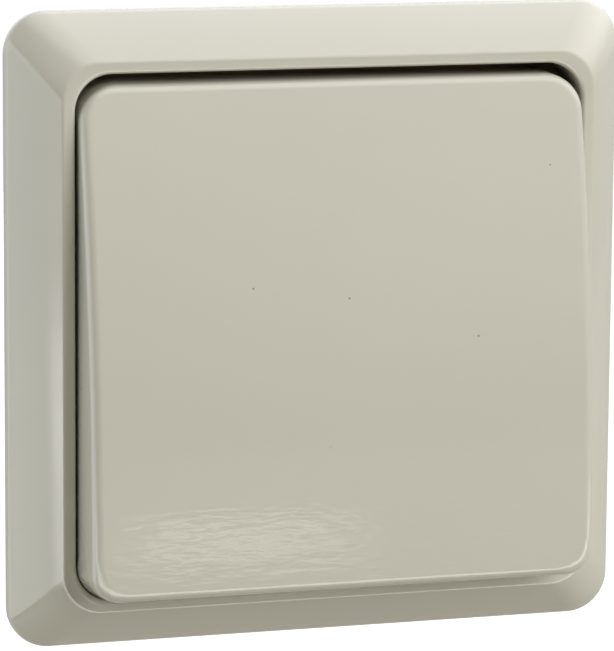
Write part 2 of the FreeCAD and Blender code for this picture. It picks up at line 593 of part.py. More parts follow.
def add_cover_frame():
    body = new_body("cover_frame")
    rim = sketch_on(body, "XY_Plane", "0", "rim_height")
    rounded_square(rim, "frame_half", "frame_corner")
    extrude(body, rim, "0", "rim_height")
    foot = sketch_on(body, "XY_Plane", "rim_height", "ridge_height")
    rounded_square(foot, "frame_half", "frame_corner")
    ridge = sketch_on(body, "XY_Plane", "ridge_height", "ridge_height")
    rounded_square(ridge, "ridge_half", "ridge_corner")
    slope = body.newObject("PartDesign::AdditiveLoft", "Slope")
    slope.Profile = foot
    slope.Sections = [ridge]
    slope.Ruled = True
    document.recompute()
    blend_edges(body, lambda edge: at_level(edge, size("ridge_height")), "ridge_round")
    blend_edges(body, lambda edge: at_level(edge, size("rim_height")), "rim_round")
    hollow_foot = sketch_on(body, "XY_Plane", "0", "0")
    outline(hollow_foot, rectangle("-foot_half", "-foot_half", "foot_half", "foot_half"))
    hollow_top = sketch_on(body, "XY_Plane", "hollow_height", "hollow_height")
    outline(hollow_top, rectangle("-hollow_half", "-hollow_half", "hollow_half", "hollow_half"))
    hollow = body.newObject("PartDesign::SubtractiveLoft", "Hollow")
    hollow.Profile = hollow_foot
    hollow.Sections = [hollow_top]
    hollow.Ruled = True
    document.recompute()
    collar = sketch_on(body, "XY_Plane", "collar_foot", "ridge_height")
    rounded_square(collar, "collar_half", "collar_corner")
    extrude(body, collar, "collar_foot", "hollow_height + lip_round")
    opening = sketch_on(body, "XY_Plane", "0", "ridge_height")
    rounded_square(opening, "opening_half", "opening_corner")
    extrude(body, opening, "0", "ridge_height", cut=True)
    blend_edges(body, is_opening_edge, "lip_round")
    for side in (1, -1):
        for level in (1, -1):
            bead = rectangle(
                signed(side, "collar_half - lip_round"),
                signed(level, "tab_place") + " - bead_width / 2",
                signed(side, "carrier_half - carrier_sheet + bead_reach"),
                signed(level, "tab_place") + " + bead_width / 2")
            block(body, "XY_Plane", bead, "bead_low", "bead_high")
    stand(body)
    keep(body)


def is_opening_edge(edge):
    box = edge.BoundBox
    reach = max(-box.XMin, box.XMax, -box.YMin, box.YMax)
    return at_level(edge, size("ridge_height")) and reach < size("opening_half") + BOX_SLACK


def crowned_side(sketch, half, edge, radius, centre, corners):
    """A side view: an arched face between two ends, closed by straight lines through the corners."""
    reach = size(half)
    level = size(edge)
    bend = size(radius)
    middle = FreeCAD.Vector(0, size(centre), 0)
    spread = math.asin(reach / bend)
    whole = Part.Circle(middle, FreeCAD.Vector(0, 0, 1), bend)
    arc = sketch.addGeometry(Part.ArcOfCircle(whole, math.pi / 2 - spread, math.pi / 2 + spread), False)
    depth = size("skirt_top")
    points = [FreeCAD.Vector(-reach, level, 0)]
    points += [FreeCAD.Vector(-reach, level - depth, 0), FreeCAD.Vector(reach, level - depth, 0)]
    points += [FreeCAD.Vector(reach, level, 0)]
    lines = []
    for start, end in zip(points[:-1], points[1:]):
        lines.append(sketch.addGeometry(Part.LineSegment(start, end), False))
    sketch.addConstraint(Sketcher.Constraint("Coincident", arc, 2, lines[0], 1))
    sketch.addConstraint(Sketcher.Constraint("Coincident", lines[0], 2, lines[1], 1))
    sketch.addConstraint(Sketcher.Constraint("Coincident", lines[1], 2, lines[2], 1))
    sketch.addConstraint(Sketcher.Constraint("Coincident", lines[2], 2, arc, 1))
    pin(sketch, lines[0], 1, "-" + half, edge)
    pin(sketch, lines[2], 2, half, edge)
    pin(sketch, lines[1], 1, *corners[0])
    pin(sketch, lines[1], 2, *corners[1])
    number = sketch.addConstraint(Sketcher.Constraint("Radius", arc, bend))
    sketch.setExpression("Constraints[%d]" % number, bound(radius))


def add_rocker_plate():
    body = new_body("rocker_plate")
    side = sketch_on(body, "YZ_Plane", "-plate_half_x", "plate_half_x")
    crowned_side(side, "plate_half_y", "plate_edge", "face_radius", "face_centre", [
        ("-plate_half_y", "plate_edge - skirt_bottom"),
        ("plate_half_y", "plate_edge - skirt_top")])
    extrude(body, side, "-plate_half_x", "plate_half_x")
    blend_edges(body, lambda edge: along(edge, "z"), "plate_corner")
    face_level = size("plate_edge") - size("plate_round") / 2
    blend_edges(body, lambda edge: edge.BoundBox.ZMin > face_level, "plate_round")
    room = sketch_on(body, "YZ_Plane", "-inner_half_x", "inner_half_x")
    crowned_side(room, "inner_half_y", "inner_edge", "inner_radius", "face_centre", [
        ("-inner_half_y", "inner_foot"),
        ("inner_half_y", "inner_foot")])
    extrude(body, room, "-inner_half_x", "inner_half_x", cut=True)
    blend_edges(body, is_inner_corner, "plate_inner_corner")
    for sign in (1, -1):
        row = signed(sign, "cross_rib_place")
        cross = rectangle("-inner_half_x - rib_wall / 2", row + " - rib_wall / 2",
                          "inner_half_x + rib_wall / 2", row + " + rib_wall / 2")
        block(body, "XY_Plane", cross, "inner_cross - rib_depth", "inner_cross + plate_wall / 2")
        long = rectangle(signed(sign, "long_rib_place") + " - rib_wall / 2", "-cross_rib_place",
                         signed(sign, "long_rib_place") + " + rib_wall / 2", "cross_rib_place")
        block(body, "XY_Plane", long, "inner_top - rib_depth", "inner_cross + plate_wall / 2")
        seat = mirrored(sign, rectangle("rail_inner", "-rail_half", "cradle_half_x", "rail_half"))
        block(body, "XY_Plane", seat, "rail_rise", "inner_top + plate_wall / 2")
        add_snap_legs(body, sign)
    stand_on_axle(body)
    keep(body)


def is_inner_corner(edge):
    box = edge.BoundBox
    return along(edge, "z") and close(abs(box.XMin), size("inner_half_x")) and close(
        abs(box.YMin), size("inner_half_y"))


def add_snap_legs(body, side):
    """The two hooked legs on one side that hold the plate on the cradle."""
    inner = "clip_place_x - clip_wall / 2"
    outer = "clip_place_x + clip_wall / 2"
    hook_top = "-(cradle_drop + clip_play / 2)"
    hook_end = "-(cradle_drop + clip_play / 2 + clip_hook)"
    profile = [
        (inner, "inner_top + plate_wall / 2"), (inner, hook_end), (outer, hook_end),
        (outer + " + clip_lip", hook_top), (outer, hook_top), (outer, "inner_top + plate_wall / 2")]
    for level in (1, -1):
        low = signed(level, "clip_place_y") + " - clip_width / 2"
        high = signed(level, "clip_place_y") + " + clip_width / 2"
        block(body, "XZ_Plane", mirrored(side, profile), low, high)


def add_rocker_cradle():
    body = new_body("rocker_cradle")
    floor = rectangle("-cradle_half_x", "-cradle_half_height", "cradle_half_x", "cradle_half_height")
    block(body, "XY_Plane", floor, "-cradle_drop", "cradle_skin")
    for side in (1, -1):
        rail = mirrored(side, rectangle("rail_inner", "-rail_half", "cradle_half_x", "rail_half"))
        block(body, "XY_Plane", rail, "cradle_skin", "rail_rise")
        low, high = "cradle_half_x", "post_outer"
        if side < 0:
            low, high = "-post_outer", "-cradle_half_x"
        rod(body, "YZ_Plane", [("0", "0")], "axle_radius", low, high)
    block(body, "XY_Plane", rectangle("-finger_half", "-finger_arm - finger_radius", "finger_half",
                                      "-finger_arm + finger_radius"), "-finger_drop", "-cradle_drop")
    rod(body, "YZ_Plane", [("-finger_arm", "-finger_drop")], "finger_radius", "-finger_half", "finger_half")
    spring_seat = [("0", "-return_spring_place")]
    rod(body, "XY_Plane", spring_seat, "return_seat", "-cradle_drop", "cradle_seat", cut=True)
    window_inner = "clip_place_x - clip_wall / 2 - clip_lip - clip_play"
    window_outer = "clip_place_x + clip_wall / 2 + clip_play"
    for side in (1, -1):
        for level in (1, -1):
            middle = signed(level, "clip_place_y")
            window = mirrored(side, rectangle(
                window_inner, middle + " - clip_width / 2 - clip_play",
                window_outer, middle + " + clip_width / 2 + clip_play"))
            block(body, "XY_Plane", window, "-cradle_drop", "cradle_skin", cut=True)
    light = rectangle("-light_half", "cradle_wall * 2", "light_half", "cradle_half_height - cradle_wall * 2")
    block(body, "XY_Plane", light, "-cradle_drop", "cradle_skin", cut=True)
    stand_on_axle(body)
    keep(body)


def add_support_plate():
    body = new_body("support_plate")
    block(body, "XY_Plane", octagon("carrier_half", "carrier_half", "carrier_corner"), "0", "carrier_sheet")
    opening = rectangle("-room_half_x", "-room_half_y", "room_half_x", "room_half_y")
    block(body, "XY_Plane", opening, "0", "carrier_sheet", cut=True)
    slots = sketch_on(body, "XY_Plane", "0", "carrier_sheet")
    for side in (1, -1):
        radial_slot(slots, side)
    extrude(body, slots, "0", "carrier_sheet", cut=True)
    rod(body, "XY_Plane", rivet_places(), "rivet_bore", "0", "carrier_sheet", cut=True)
    screw_places = [("claw_screw_x", "-claw_row"), ("-claw_screw_x", "claw_row")]
    rod(body, "XY_Plane", screw_places, "claw_screw_bore", "0", "carrier_sheet", cut=True)
    for side in (1, -1):
        row = signed(-side, "claw_row")
        window = mirrored(side, rectangle("claw_x - ear_half", row + " - ear_inner",
                                          "claw_x + ear_half", row + " + ear_inner"))
        block(body, "XY_Plane", window, "0", "carrier_sheet", cut=True)
        ear = mirrored(side, rectangle("claw_x - ear_half", "ear_foot",
                                       "claw_x + ear_half", "carrier_sheet"))
        block(body, "XZ_Plane", ear, row + " - ear_outer", row + " - ear_inner")
        block(body, "XZ_Plane", ear, row + " + ear_inner", row + " + ear_outer")
        hinge = [(signed(side, "claw_x"), "-claw_hinge_depth")]
        rod(body, "XZ_Plane", hinge, "ear_bore", row + " - ear_outer", row + " + ear_outer", cut=True)
    for side in (1, -1):
        for level in (1, -1):
            middle = signed(level, "tab_place")
            tab = mirrored(side, rectangle("carrier_half - carrier_sheet", middle + " - tab_width / 2",
                                           "carrier_half", middle + " + tab_width / 2"))
            block(body, "XY_Plane", tab, "0", "tab_top")
            window = rectangle(middle + " - bead_width / 2 - tab_window_play", "bead_low - tab_window_play",
                               middle + " + bead_width / 2 + tab_window_play", "bead_high + tab_window_play")
            low, high = "carrier_half - carrier_sheet", "carrier_half"
            if side < 0:
                low, high = "-carrier_half", "-(carrier_half - carrier_sheet)"
            block(body, "YZ_Plane", window, low, high, cut=True)
    blend_edges(body, is_ear_corner, "ear_half - lug_clearance")
    stand(body)
    keep(body)


def is_ear_corner(edge):
    return along(edge, "y") and at_level(edge, size("ear_foot"))


def add_plate_rivets():
    body = new_body("plate_rivets")
    rod(body, "XY_Plane", rivet_places(), "rivet_radius", "-rivet_length", "carrier_sheet")
    rod(body, "XY_Plane", rivet_places(), "rivet_head", "carrier_sheet", "carrier_sheet + rivet_head_rise")
    stand(body)
    keep(body)


def add_switch_base():
    body = new_body("switch_base")
    block(body, "XY_Plane", octagon("base_half_x", "base_half_y", "base_corner"), "-base_depth", "0")
    rear = -size("base_depth")
    blend_edges(body, lambda edge: at_level(edge, rear), "base_round")
    room = rectangle("-room_half_x", "-room_half_y", "room_half_x", "room_half_y")
    block(body, "XY_Plane", room, "room_floor", "0", cut=True)
    seat = rectangle("-seat_half_x", "-seat_half_y", "seat_half_x", "seat_half_y")
    block(body, "XY_Plane", seat, "-rebate_step", "0", cut=True)
    crest = "-(lid_drop + partition_gap)"
    step = "tongue_near + clip_play"
    profile = [("-room_half_y", "room_floor"), ("room_half_y", "room_floor"), ("room_half_y", crest),
               (step, crest), (step, "tongue_low"), ("-room_half_y", "tongue_low")]
    block(body, "YZ_Plane", profile, "partition_place", "partition_place + partition_wall")
    block(body, "YZ_Plane", profile, "-(partition_place + partition_wall)", "-partition_place")
    rod(body, "XY_Plane", [("0", "plunger_row")], "pedestal_radius", "room_floor", "pedestal_top")
    rod(body, "XY_Plane", [("0", "plunger_row")], "spigot_radius", "pedestal_top",
        "pedestal_top + spigot_length")
    wires = [(signed(a, "wire_x"), "wire_row " + b + " wire_pitch / 2") for a in (1, -1) for b in "+-"]
    rod(body, "XY_Plane", wires, "wire_hole", "-base_depth", "room_floor", cut=True)
    rod(body, "XY_Plane", wires, "wire_funnel", "-base_depth", "-base_depth + wire_funnel_depth", cut=True)
    for side in (1, -1):
        lever = mirrored(side, rectangle("lever_inner - lever_play", "wire_row - lever_half - lever_play",
                                         "lever_outer + lever_play", "wire_row + lever_half + lever_play"))
        block(body, "XY_Plane", lever, "-base_depth", "room_floor", cut=True)
    rod(body, "XY_Plane", rivet_places(), "rivet_bore", "-rivet_length - rivet_play", "0", cut=True)
    stand(body)
    keep(body)


def add_base_cover():
    body = new_body("base_cover")
    flange = rectangle("-flange_half_x", "-flange_half_y", "flange_half_x", "flange_half_y")
    block(body, "XY_Plane", flange, "-rebate_step", "-flange_top_gap")
    lid = rectangle("-block_half_x", "-block_half_y", "block_half_x", "block_half_y")
    block(body, "XY_Plane", lid, "-lid_drop", "lid_rise")
    for side in (1, -1):
        low, high = "post_inner", "post_outer"
        if side < 0:
            low, high = "-post_outer", "-post_inner"
        post = rectangle("-bearing_half", "0", "bearing_half", "post_top")
        block(body, "YZ_Plane", post, low, high)
        rod(body, "YZ_Plane", [("0", "axle_height")], "bore_radius", low, high, cut=True)
        throat = rectangle("-bearing_throat / 2", "axle_height", "bearing_throat / 2", "post_top")
        block(body, "YZ_Plane", throat, low, high, cut=True)
        hollow = mirrored(side, rectangle("lid_hollow_x", "lid_hollow_low",
                                          "lid_hollow_side", "lid_hollow_high"))
        block(body, "XY_Plane", hollow, "-lid_drop", "lid_rise - lid_skin", cut=True)
        press_stop = mirrored(side, rectangle("press_stop_inner", "-stop_reach",
                                              "press_stop_outer", "stop_depth - stop_reach"))
        block(body, "XY_Plane", press_stop, "0", "press_stop_top")
    rest_stop = rectangle("-stop_half", "stop_reach - stop_depth", "stop_half", "stop_reach")
    block(body, "XY_Plane", rest_stop, "0", "rest_stop_top")
    guide = rectangle("-(stem_half + stem_play)", "plunger_row - stem_half - stem_play",
                      "stem_half + stem_play", "plunger_row + stem_half + stem_play")
    block(body, "XY_Plane", guide, "-lid_drop", "lid_rise", cut=True)
    rod(body, "XY_Plane", [("0", "-return_spring_place")], "return_seat", "lid_rise - lid_seat_depth",
        "lid_rise", cut=True)
    blend_edges(body, is_post_corner, "bearing_above / 2")
    stand(body)
    keep(body)


def is_post_corner(edge):
    outer = close(abs(edge.BoundBox.YMin), size("bearing_half"))
    return along(edge, "x") and at_level(edge, size("post_top")) and outer


def add_coil(name, row, radius, wire, turns, low, high):
    """A coil of four-sided wire along Z, with its wire's outside at low and high."""
    body = new_body(name)
    section = sketch_on(body, "XZ_Plane", "-(" + row + ")", "(" + row + ")")
    middle = "(" + low + ") + " + wire
    outline(section, [
        (radius + " + " + wire, middle), (radius, middle + " + " + wire),
        (radius + " - " + wire, middle), (radius, middle + " - " + wire)])
    document.recompute()
    coil = body.newObject("PartDesign::AdditiveHelix", "Coil")
    coil.Profile = section
    coil.ReferenceAxis = (section, ["V_Axis"])
    coil.Mode = 2
    coil.setExpression("Height", bound("(" + high + ") - (" + low + ") - 2 * " + wire))
    coil.setExpression("Turns", bound(turns))
    section.Visibility = False
    document.recompute()
    stand(body)
    keep(body)


def add_contact_plunger():
    body = new_body("contact_plunger")
    stem = rectangle("-stem_half", "plunger_row - stem_half", "stem_half", "plunger_row + stem_half")
    block(body, "XY_Plane", stem, "shoulder_top", "stem_top")
    shoulder = rectangle("-shoulder_half_x", "plunger_row - shoulder_half_y",
                         "shoulder_half_x", "plunger_row + shoulder_half_y")
    block(body, "XY_Plane", shoulder, "neck_top", "shoulder_top")
    neck = rectangle("-neck_half", "plunger_row - neck_half", "neck_half", "plunger_row + neck_half")
    block(body, "XY_Plane", neck, "foot_top", "neck_top")
    foot = rectangle("-foot_half_x", "plunger_row - neck_half", "foot_half_x", "plunger_row + neck_half")
    block(body, "XY_Plane", foot, "foot_bottom", "foot_top")
    rod(body, "XY_Plane", [("0", "plunger_row")], "spigot_radius", "foot_bottom - spigot_length",
        "foot_bottom")
    stand(body)
    keep(body)


def add_contact_bridge():
    body = new_body("contact_bridge")
    ramp = "bridge_flat + 2 * bridge_bow"
    under = [("-bridge_half", "bridge_end"), ("-(" + ramp + ")", "bridge_end"), ("-bridge_flat", "foot_top"),
             ("bridge_flat", "foot_top"), (ramp, "bridge_end"), ("bridge_half", "bridge_end")]
    over = [(across, up + " + bridge_sheet") for across, up in reversed(under)]
    block(body, "XZ_Plane", under + over, "plunger_row - bridge_width / 2", "plunger_row + bridge_width / 2")
    hole = rectangle("-(neck_half + bridge_play)", "plunger_row - neck_half - bridge_play",
                     "neck_half + bridge_play", "plunger_row + neck_half + bridge_play")
    block(body, "XY_Plane", hole, "foot_top", "foot_top + bridge_sheet", cut=True)
    stand(body)
    keep(body)


def add_contact_buttons(name, low, high):
    body = new_body(name)
    spots = [("contact_place", "plunger_row"), ("-contact_place", "plunger_row")]
    rod(body, "XY_Plane", spots, "contact_radius", low, high)
    stand(body)
    keep(body)


def add_contact_strip(name, side):
    """A bent brass strip: an upright wall that clamps the wires and a tongue to the contact."""
    body = new_body(name)
    low, high = "strip_inner", "strip_outer"
    if side < 0:
        low, high = "-strip_outer", "-strip_inner"
    neck = "tongue_near + strip_neck"
    wall = [("tongue_far", "room_floor"), ("strip_end", "room_floor"), ("strip_end", "-strip_top"),
            (neck, "-strip_top"), (neck, "tongue_top"), ("tongue_far", "tongue_top")]
    block(body, "YZ_Plane", wall, low, high)
    tongue = mirrored(side, rectangle("tongue_end", "tongue_far", "strip_inner", "tongue_near"))
    block(body, "XY_Plane", tongue, "tongue_low", "tongue_top")
    stand(body)
    keep(body)


def add_clamp_spring(name, side):
    """A folded leaf that presses both conductors of a terminal against the strip."""
    body = new_body(name)
    corners = [
        ("clamp_inner", "-clamp_foot"), ("clamp_inner", "-clamp_top"), ("clamp_corner", "-clamp_top"),
        ("clamp_edge", "-clamp_tip"), ("clamp_edge - clamp_sheet", "-clamp_tip"),
        ("clamp_corner - clamp_sheet", "-(clamp_top + clamp_sheet)"),
        ("clamp_inner + clamp_sheet", "-(clamp_top + clamp_sheet)"),
        ("clamp_inner + clamp_sheet", "-clamp_foot")]
    block(body, "XZ_Plane", mirrored(side, corners), "wire_row - clamp_half", "wire_row + clamp_half")
    top = -size("clamp_top")
    blend_edges(body, lambda edge: along(edge, "y") and at_level(edge, top), "clamp_bend")
    stand(body)
    keep(body)


def add_release_lever(name, side):
    """A flat pusher with a sloping tip that lies along the clamp spring's free leg."""
    body = new_body(name)
    rear = "-(base_depth + lever_proud)"
    corners = [("lever_inner", rear), ("lever_outer", rear), ("lever_outer", "lever_tip_outer"),
               ("lever_inner", "lever_tip_inner")]
    block(body, "XZ_Plane", mirrored(side, corners), "wire_row - lever_half", "wire_row + lever_half")
    flange_low = "wire_row - lever_half - lever_flange"
    flange_high = "wire_row + lever_half + lever_flange"
    flange = mirrored(side, rectangle("lever_inner - lever_flange / 2", flange_low,
                                      "lever_outer", flange_high))
    block(body, "XY_Plane", flange, "lever_flange_low", "lever_flange_low + lever_flange_thick")
    stand(body)
    keep(body)


def add_claw(name, half_turn):
    """A bent steel claw: a fork under the screw's head side, an arm and a toothed toe."""
    body = new_body(name)
    profile = [
        ("claw_x + claw_flange", "claw_front"), ("claw_x + claw_flange", "claw_back"),
        ("claw_far", "claw_back"), ("claw_far", "claw_end + claw_sheet"),
        ("claw_far + claw_toe", "claw_end + claw_sheet"), ("claw_far + claw_toe", "claw_end"),
        ("claw_near", "claw_end"), ("claw_near", "claw_front")]
    low, high = "-claw_row - claw_half", "-claw_row + claw_half"
    block(body, "XZ_Plane", profile, low, high)
    blend_edges(body, is_claw_bend, "claw_bend")
    for low_edge, high_edge in ((low, "-claw_row - claw_fork_half"), ("-claw_row + claw_fork_half", high)):
        shoulder = rectangle("claw_x + claw_fork_root", low_edge, "claw_x + claw_flange", high_edge)
        block(body, "XY_Plane", shoulder, "claw_back", "claw_front", cut=True)
    fork = rectangle("claw_x + claw_slot_start", "-claw_row - claw_slot_half",
                     "claw_x + claw_flange", "-claw_row + claw_slot_half")
    block(body, "XY_Plane", fork, "claw_back", "claw_front", cut=True)
    window = rectangle("-claw_row - claw_window_half", "-(claw_hinge_depth + claw_window_end)",
                       "-claw_row + claw_window_half", "-(claw_hinge_depth + claw_window_start)")
    block(body, "YZ_Plane", window, "claw_near", "claw_far", cut=True)
    for step in (-1, 0, 1):
        middle = "-claw_row + claw_tooth_pitch * (%d)" % step
        notch = [("claw_far + claw_toe", middle + " - claw_tooth"),
                 ("claw_far + claw_toe", middle + " + claw_tooth"),
                 ("claw_far + claw_toe - claw_tooth", middle)]
        block(body, "XY_Plane", notch, "claw_end", "claw_end + claw_sheet", cut=True)
    lug = rectangle("claw_near", "claw_back", "claw_far", "claw_front")
    block(body, "XZ_Plane", lug, high, high + " + lug_reach")
    block(body, "XZ_Plane", lug, low + " - lug_reach", low)
    stand(body, half_turn)
    keep(body)


def is_claw_bend(edge):
    corner = close(edge.BoundBox.XMin, size("claw_near"))
    return along(edge, "y") and corner


def add_claw_screw(name, half_turn):
    body = new_body(name)
    spot = [("claw_screw_x", "-claw_row")]
    rod(body, "XY_Plane", spot, "claw_screw_radius", "claw_head_low - claw_screw_length", "claw_head_low")
    rod(body, "XY_Plane", spot, "claw_head_radius", "claw_head_low", "claw_head_top")
    for reach_x, reach_y in (("recess_reach", "recess_half"), ("recess_half", "recess_reach")):
        recess = rectangle("claw_screw_x - " + reach_x, "-claw_row - " + reach_y,
                           "claw_screw_x + " + reach_x, "-claw_row + " + reach_y)
        block(body, "XY_Plane", recess, "claw_head_top - recess_depth", "claw_head_top", cut=True)
    stand(body, half_turn)
    keep(body)


def add_claw_spring(name, half_turn):
    """A bowed leaf around the screw that pushes the claw's fork away from the support plate."""
    body = new_body(name)
    foot_level = "claw_front + leaf_gap"
    over = [("claw_screw_x - leaf_foot", foot_level), ("claw_screw_x - leaf_flat", "-leaf_gap"),
            ("claw_screw_x + leaf_flat", "-leaf_gap"), ("claw_screw_x + leaf_foot", foot_level)]
    under = [("claw_screw_x + leaf_foot - leaf_sheet", foot_level),
             ("claw_screw_x + leaf_flat - leaf_sheet", "-leaf_gap - leaf_sheet"),
             ("claw_screw_x - leaf_flat + leaf_sheet", "-leaf_gap - leaf_sheet"),
             ("claw_screw_x - leaf_foot + leaf_sheet", foot_level)]
    block(body, "XZ_Plane", over + under, "-claw_row - leaf_half", "-claw_row + leaf_half")
    spot = [("claw_screw_x", "-claw_row")]
    rod(body, "XY_Plane", spot, "leaf_hole", "-leaf_gap - leaf_sheet", "-leaf_gap", cut=True)
    stand(body, half_turn)
    keep(body)


def check_and_export():
    for item in document.Objects:
        state = set(item.State)
        if "Invalid" in state or "Error" in state:
            raise RuntimeError(item.Name + " did not recompute: " + ", ".join(sorted(state)))
    os.makedirs("parts", exist_ok=True)
    for name, piece in finished.items():
        shape = piece.Shape
        if shape.isNull() or not shape.isValid() or shape.Volume <= 0:
            raise RuntimeError(name + " has no valid shape")
        shape.exportStep(os.path.join("parts", name + ".step"))


fill_sheets()
add_cover_frame()
add_rocker_plate()
add_rocker_cradle()
add_support_plate()
add_plate_rivets()
add_switch_base()
add_base_cover()
add_coil("return_spring", "-return_spring_place", "return_spring_radius", "return_spring_wire",
         "return_spring_turns", "return_spring_low", "return_spring_high")
add_contact_plunger()
add_contact_bridge()
add_contact_buttons("bridge_contacts", "button_low", "bridge_end")
add_coil("plunger_spring", "plunger_row", "plunger_spring_radius", "plunger_spring_wire",
         "plunger_spring_turns", "pedestal_top + spring_gap", "foot_bottom - spring_gap")
add_contact_strip("line_contact_strip", -1)
add_contact_strip("load_contact_strip", 1)
add_contact_buttons("fixed_contacts", "tongue_top", "fixed_top")
add_clamp_spring("line_clamp_spring", -1)
add_clamp_spring("load_clamp_spring", 1)
add_release_lever("line_release_lever", -1)
add_release_lever("load_release_lever", 1)
add_claw("right_claw", False)
add_claw("left_claw", True)
add_claw_screw("right_claw_screw", False)
add_claw_screw("left_claw_screw", True)
add_claw_spring("right_claw_spring", False)
add_claw_spring("left_claw_spring", True)
document.recompute()
check_and_export()
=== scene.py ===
import bmesh
import bpy
import json
import math
from mathutils import Euler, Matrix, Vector


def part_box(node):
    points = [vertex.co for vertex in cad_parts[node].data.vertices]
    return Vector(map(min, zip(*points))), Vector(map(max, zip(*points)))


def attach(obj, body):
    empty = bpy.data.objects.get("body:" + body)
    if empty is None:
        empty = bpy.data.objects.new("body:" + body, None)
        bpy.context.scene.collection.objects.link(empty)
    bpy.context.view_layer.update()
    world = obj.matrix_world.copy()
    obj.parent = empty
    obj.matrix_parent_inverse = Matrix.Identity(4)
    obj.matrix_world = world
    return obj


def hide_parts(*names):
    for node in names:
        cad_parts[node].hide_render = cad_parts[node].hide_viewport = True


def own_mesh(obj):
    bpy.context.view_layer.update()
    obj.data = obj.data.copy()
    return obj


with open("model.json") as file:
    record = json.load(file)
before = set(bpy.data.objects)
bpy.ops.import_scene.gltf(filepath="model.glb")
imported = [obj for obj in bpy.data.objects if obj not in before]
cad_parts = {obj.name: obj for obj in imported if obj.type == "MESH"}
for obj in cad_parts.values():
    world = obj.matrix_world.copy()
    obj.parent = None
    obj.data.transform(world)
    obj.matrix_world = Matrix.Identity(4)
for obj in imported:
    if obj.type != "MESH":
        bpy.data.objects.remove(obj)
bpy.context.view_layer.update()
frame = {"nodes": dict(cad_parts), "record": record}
nodes = frame["nodes"]
record = frame["record"]
slotOf = {row["node"]: row["material_slot"] for row in record["subparts"]}
bodyOf = {node: body for body, members in record["behaviour"]["bodies"].items() for node in members}


# building blocks for node trees; every finish reads Object coordinates, in metres

noiseLow, noiseHigh = 0.3, 0.7                           # noise rarely leaves this span


def feed(tree, source, socket):                          # source is another node's output, or a plain value
    if isinstance(source, bpy.types.NodeSocket):
        tree.links.new(source, socket)
    else:
        socket.default_value = source


def mathOf(tree, operation, *values):
    node = tree.nodes.new("ShaderNodeMath")
    node.operation = operation
    for value, socket in zip(values, node.inputs):
        feed(tree, value, socket)
    return node.outputs["Value"]


def mixed(tree, kind, share, first, second):
    node = tree.nodes.new("ShaderNodeMix")
    node.data_type = kind
    firstAt, secondAt, resultAt = {"FLOAT": (2, 3, 0), "RGBA": (6, 7, 2)}[kind]
    feed(tree, share, node.inputs[0])
    feed(tree, first, node.inputs[firstAt])
    feed(tree, second, node.inputs[secondAt])
    return node.outputs[resultAt]


def split(tree, vector):
    parts = tree.nodes.new("ShaderNodeSeparateXYZ")
    tree.links.new(vector, parts.inputs["Vector"])
    return parts.outputs


def rescaled(tree, pattern, low, high, fromLow=noiseLow, fromHigh=noiseHigh):
    spread = tree.nodes.new("ShaderNodeMapRange")
    spread.inputs["From Min"].default_value = fromLow
    spread.inputs["From Max"].default_value = fromHigh
    spread.inputs["To Min"].default_value = low
    spread.inputs["To Max"].default_value = high
    tree.links.new(pattern, spread.inputs["Value"])
    return spread.outputs["Result"]


def startMaterial(name):
    material = bpy.data.materials.new(name)
    material.use_nodes = True
    tree = material.node_tree
    place = tree.nodes.new("ShaderNodeTexCoord").outputs["Object"]
    return material, tree, tree.nodes["Principled BSDF"], place


def noisePattern(tree, place, scale, detail=3.0, rough=0.5):
    mapping = tree.nodes.new("ShaderNodeMapping")
    mapping.inputs["Scale"].default_value = scale
    tree.links.new(place, mapping.inputs["Vector"])
    noise = tree.nodes.new("ShaderNodeTexNoise")
    noise.inputs["Scale"].default_value = 1.0
    noise.inputs["Detail"].default_value = detail
    noise.inputs["Roughness"].default_value = rough
    tree.links.new(mapping.outputs["Vector"], noise.inputs["Vector"])
    return noise.outputs["Fac"]


def toned(tree, pattern, color, darkest, lightest):      # the colour times two factors, across the pattern
    ramp = tree.nodes.new("ShaderNodeValToRGB")
    ends = ((noiseLow, darkest), (noiseHigh, lightest))
    for element, (position, factor) in zip(ramp.color_ramp.elements, ends):
        element.position = position
        element.color = (*(min(1.0, channel * factor) for channel in color), 1.0)
    tree.links.new(pattern, ramp.inputs["Fac"])
    return ramp.outputs["Color"]


def raisedBy(tree, pattern, depth, under=None):
    bump = tree.nodes.new("ShaderNodeBump")
    bump.inputs["Strength"].default_value = 1.0
    bump.inputs["Distance"].default_value = depth
    tree.links.new(pattern, bump.inputs["Height"])
    if under is not None:
        tree.links.new(under, bump.inputs["Normal"])
    return bump.outputs["Normal"]


# the two visible mouldings: glossy cream plastic, faintly clouded, with flow ripples and a little dust

creamShared = {"color": (0.560, 0.551, 0.480), "ior": 1.5, "cloud": 0.010,
               "hazeSpan": (0.85, 1.20), "hazeDetail": 4.0,              # the gloss varies between these shares
               "swellDetail": 1.0, "rippleDetail": 2.0, "rippleRough": 0.45,
               "dustCore": 0.6}                                          # share of a speck that is evenly dark

creamLook = {
    "frame": {**creamShared, "cloudScale": 30.0, "roughness": 0.10, "hazeScale": 180.0,
              "swellScale": 40.0, "swellDepth": 0.000012,
              "rippleScale": (260.0, 260.0, 260.0), "rippleDepth": 0.0000006,
              "rippleFade": (1.0, 2.0),                                  # above the frame, so it ripples all over
              "dustSpacing": 0.0075, "dustSize": 0.00013, "dustStrength": 0.30, "dustColor": (0.16, 0.14, 0.11)},
    "rocker": {**creamShared, "cloudScale": 24.0, "roughness": 0.09, "hazeScale": 150.0,
               "swellScale": 34.0, "swellDepth": 0.000010,
               "rippleScale": (270.0, 500.0, 1150.0), "rippleDepth": 0.000034,
               "rippleFade": (-0.0205, -0.018),                          # only the plate's lower part
               "dustSpacing": 0.0056, "dustSize": 0.00017, "dustStrength": 0.75, "dustColor": (0.14, 0.12, 0.09)},
}


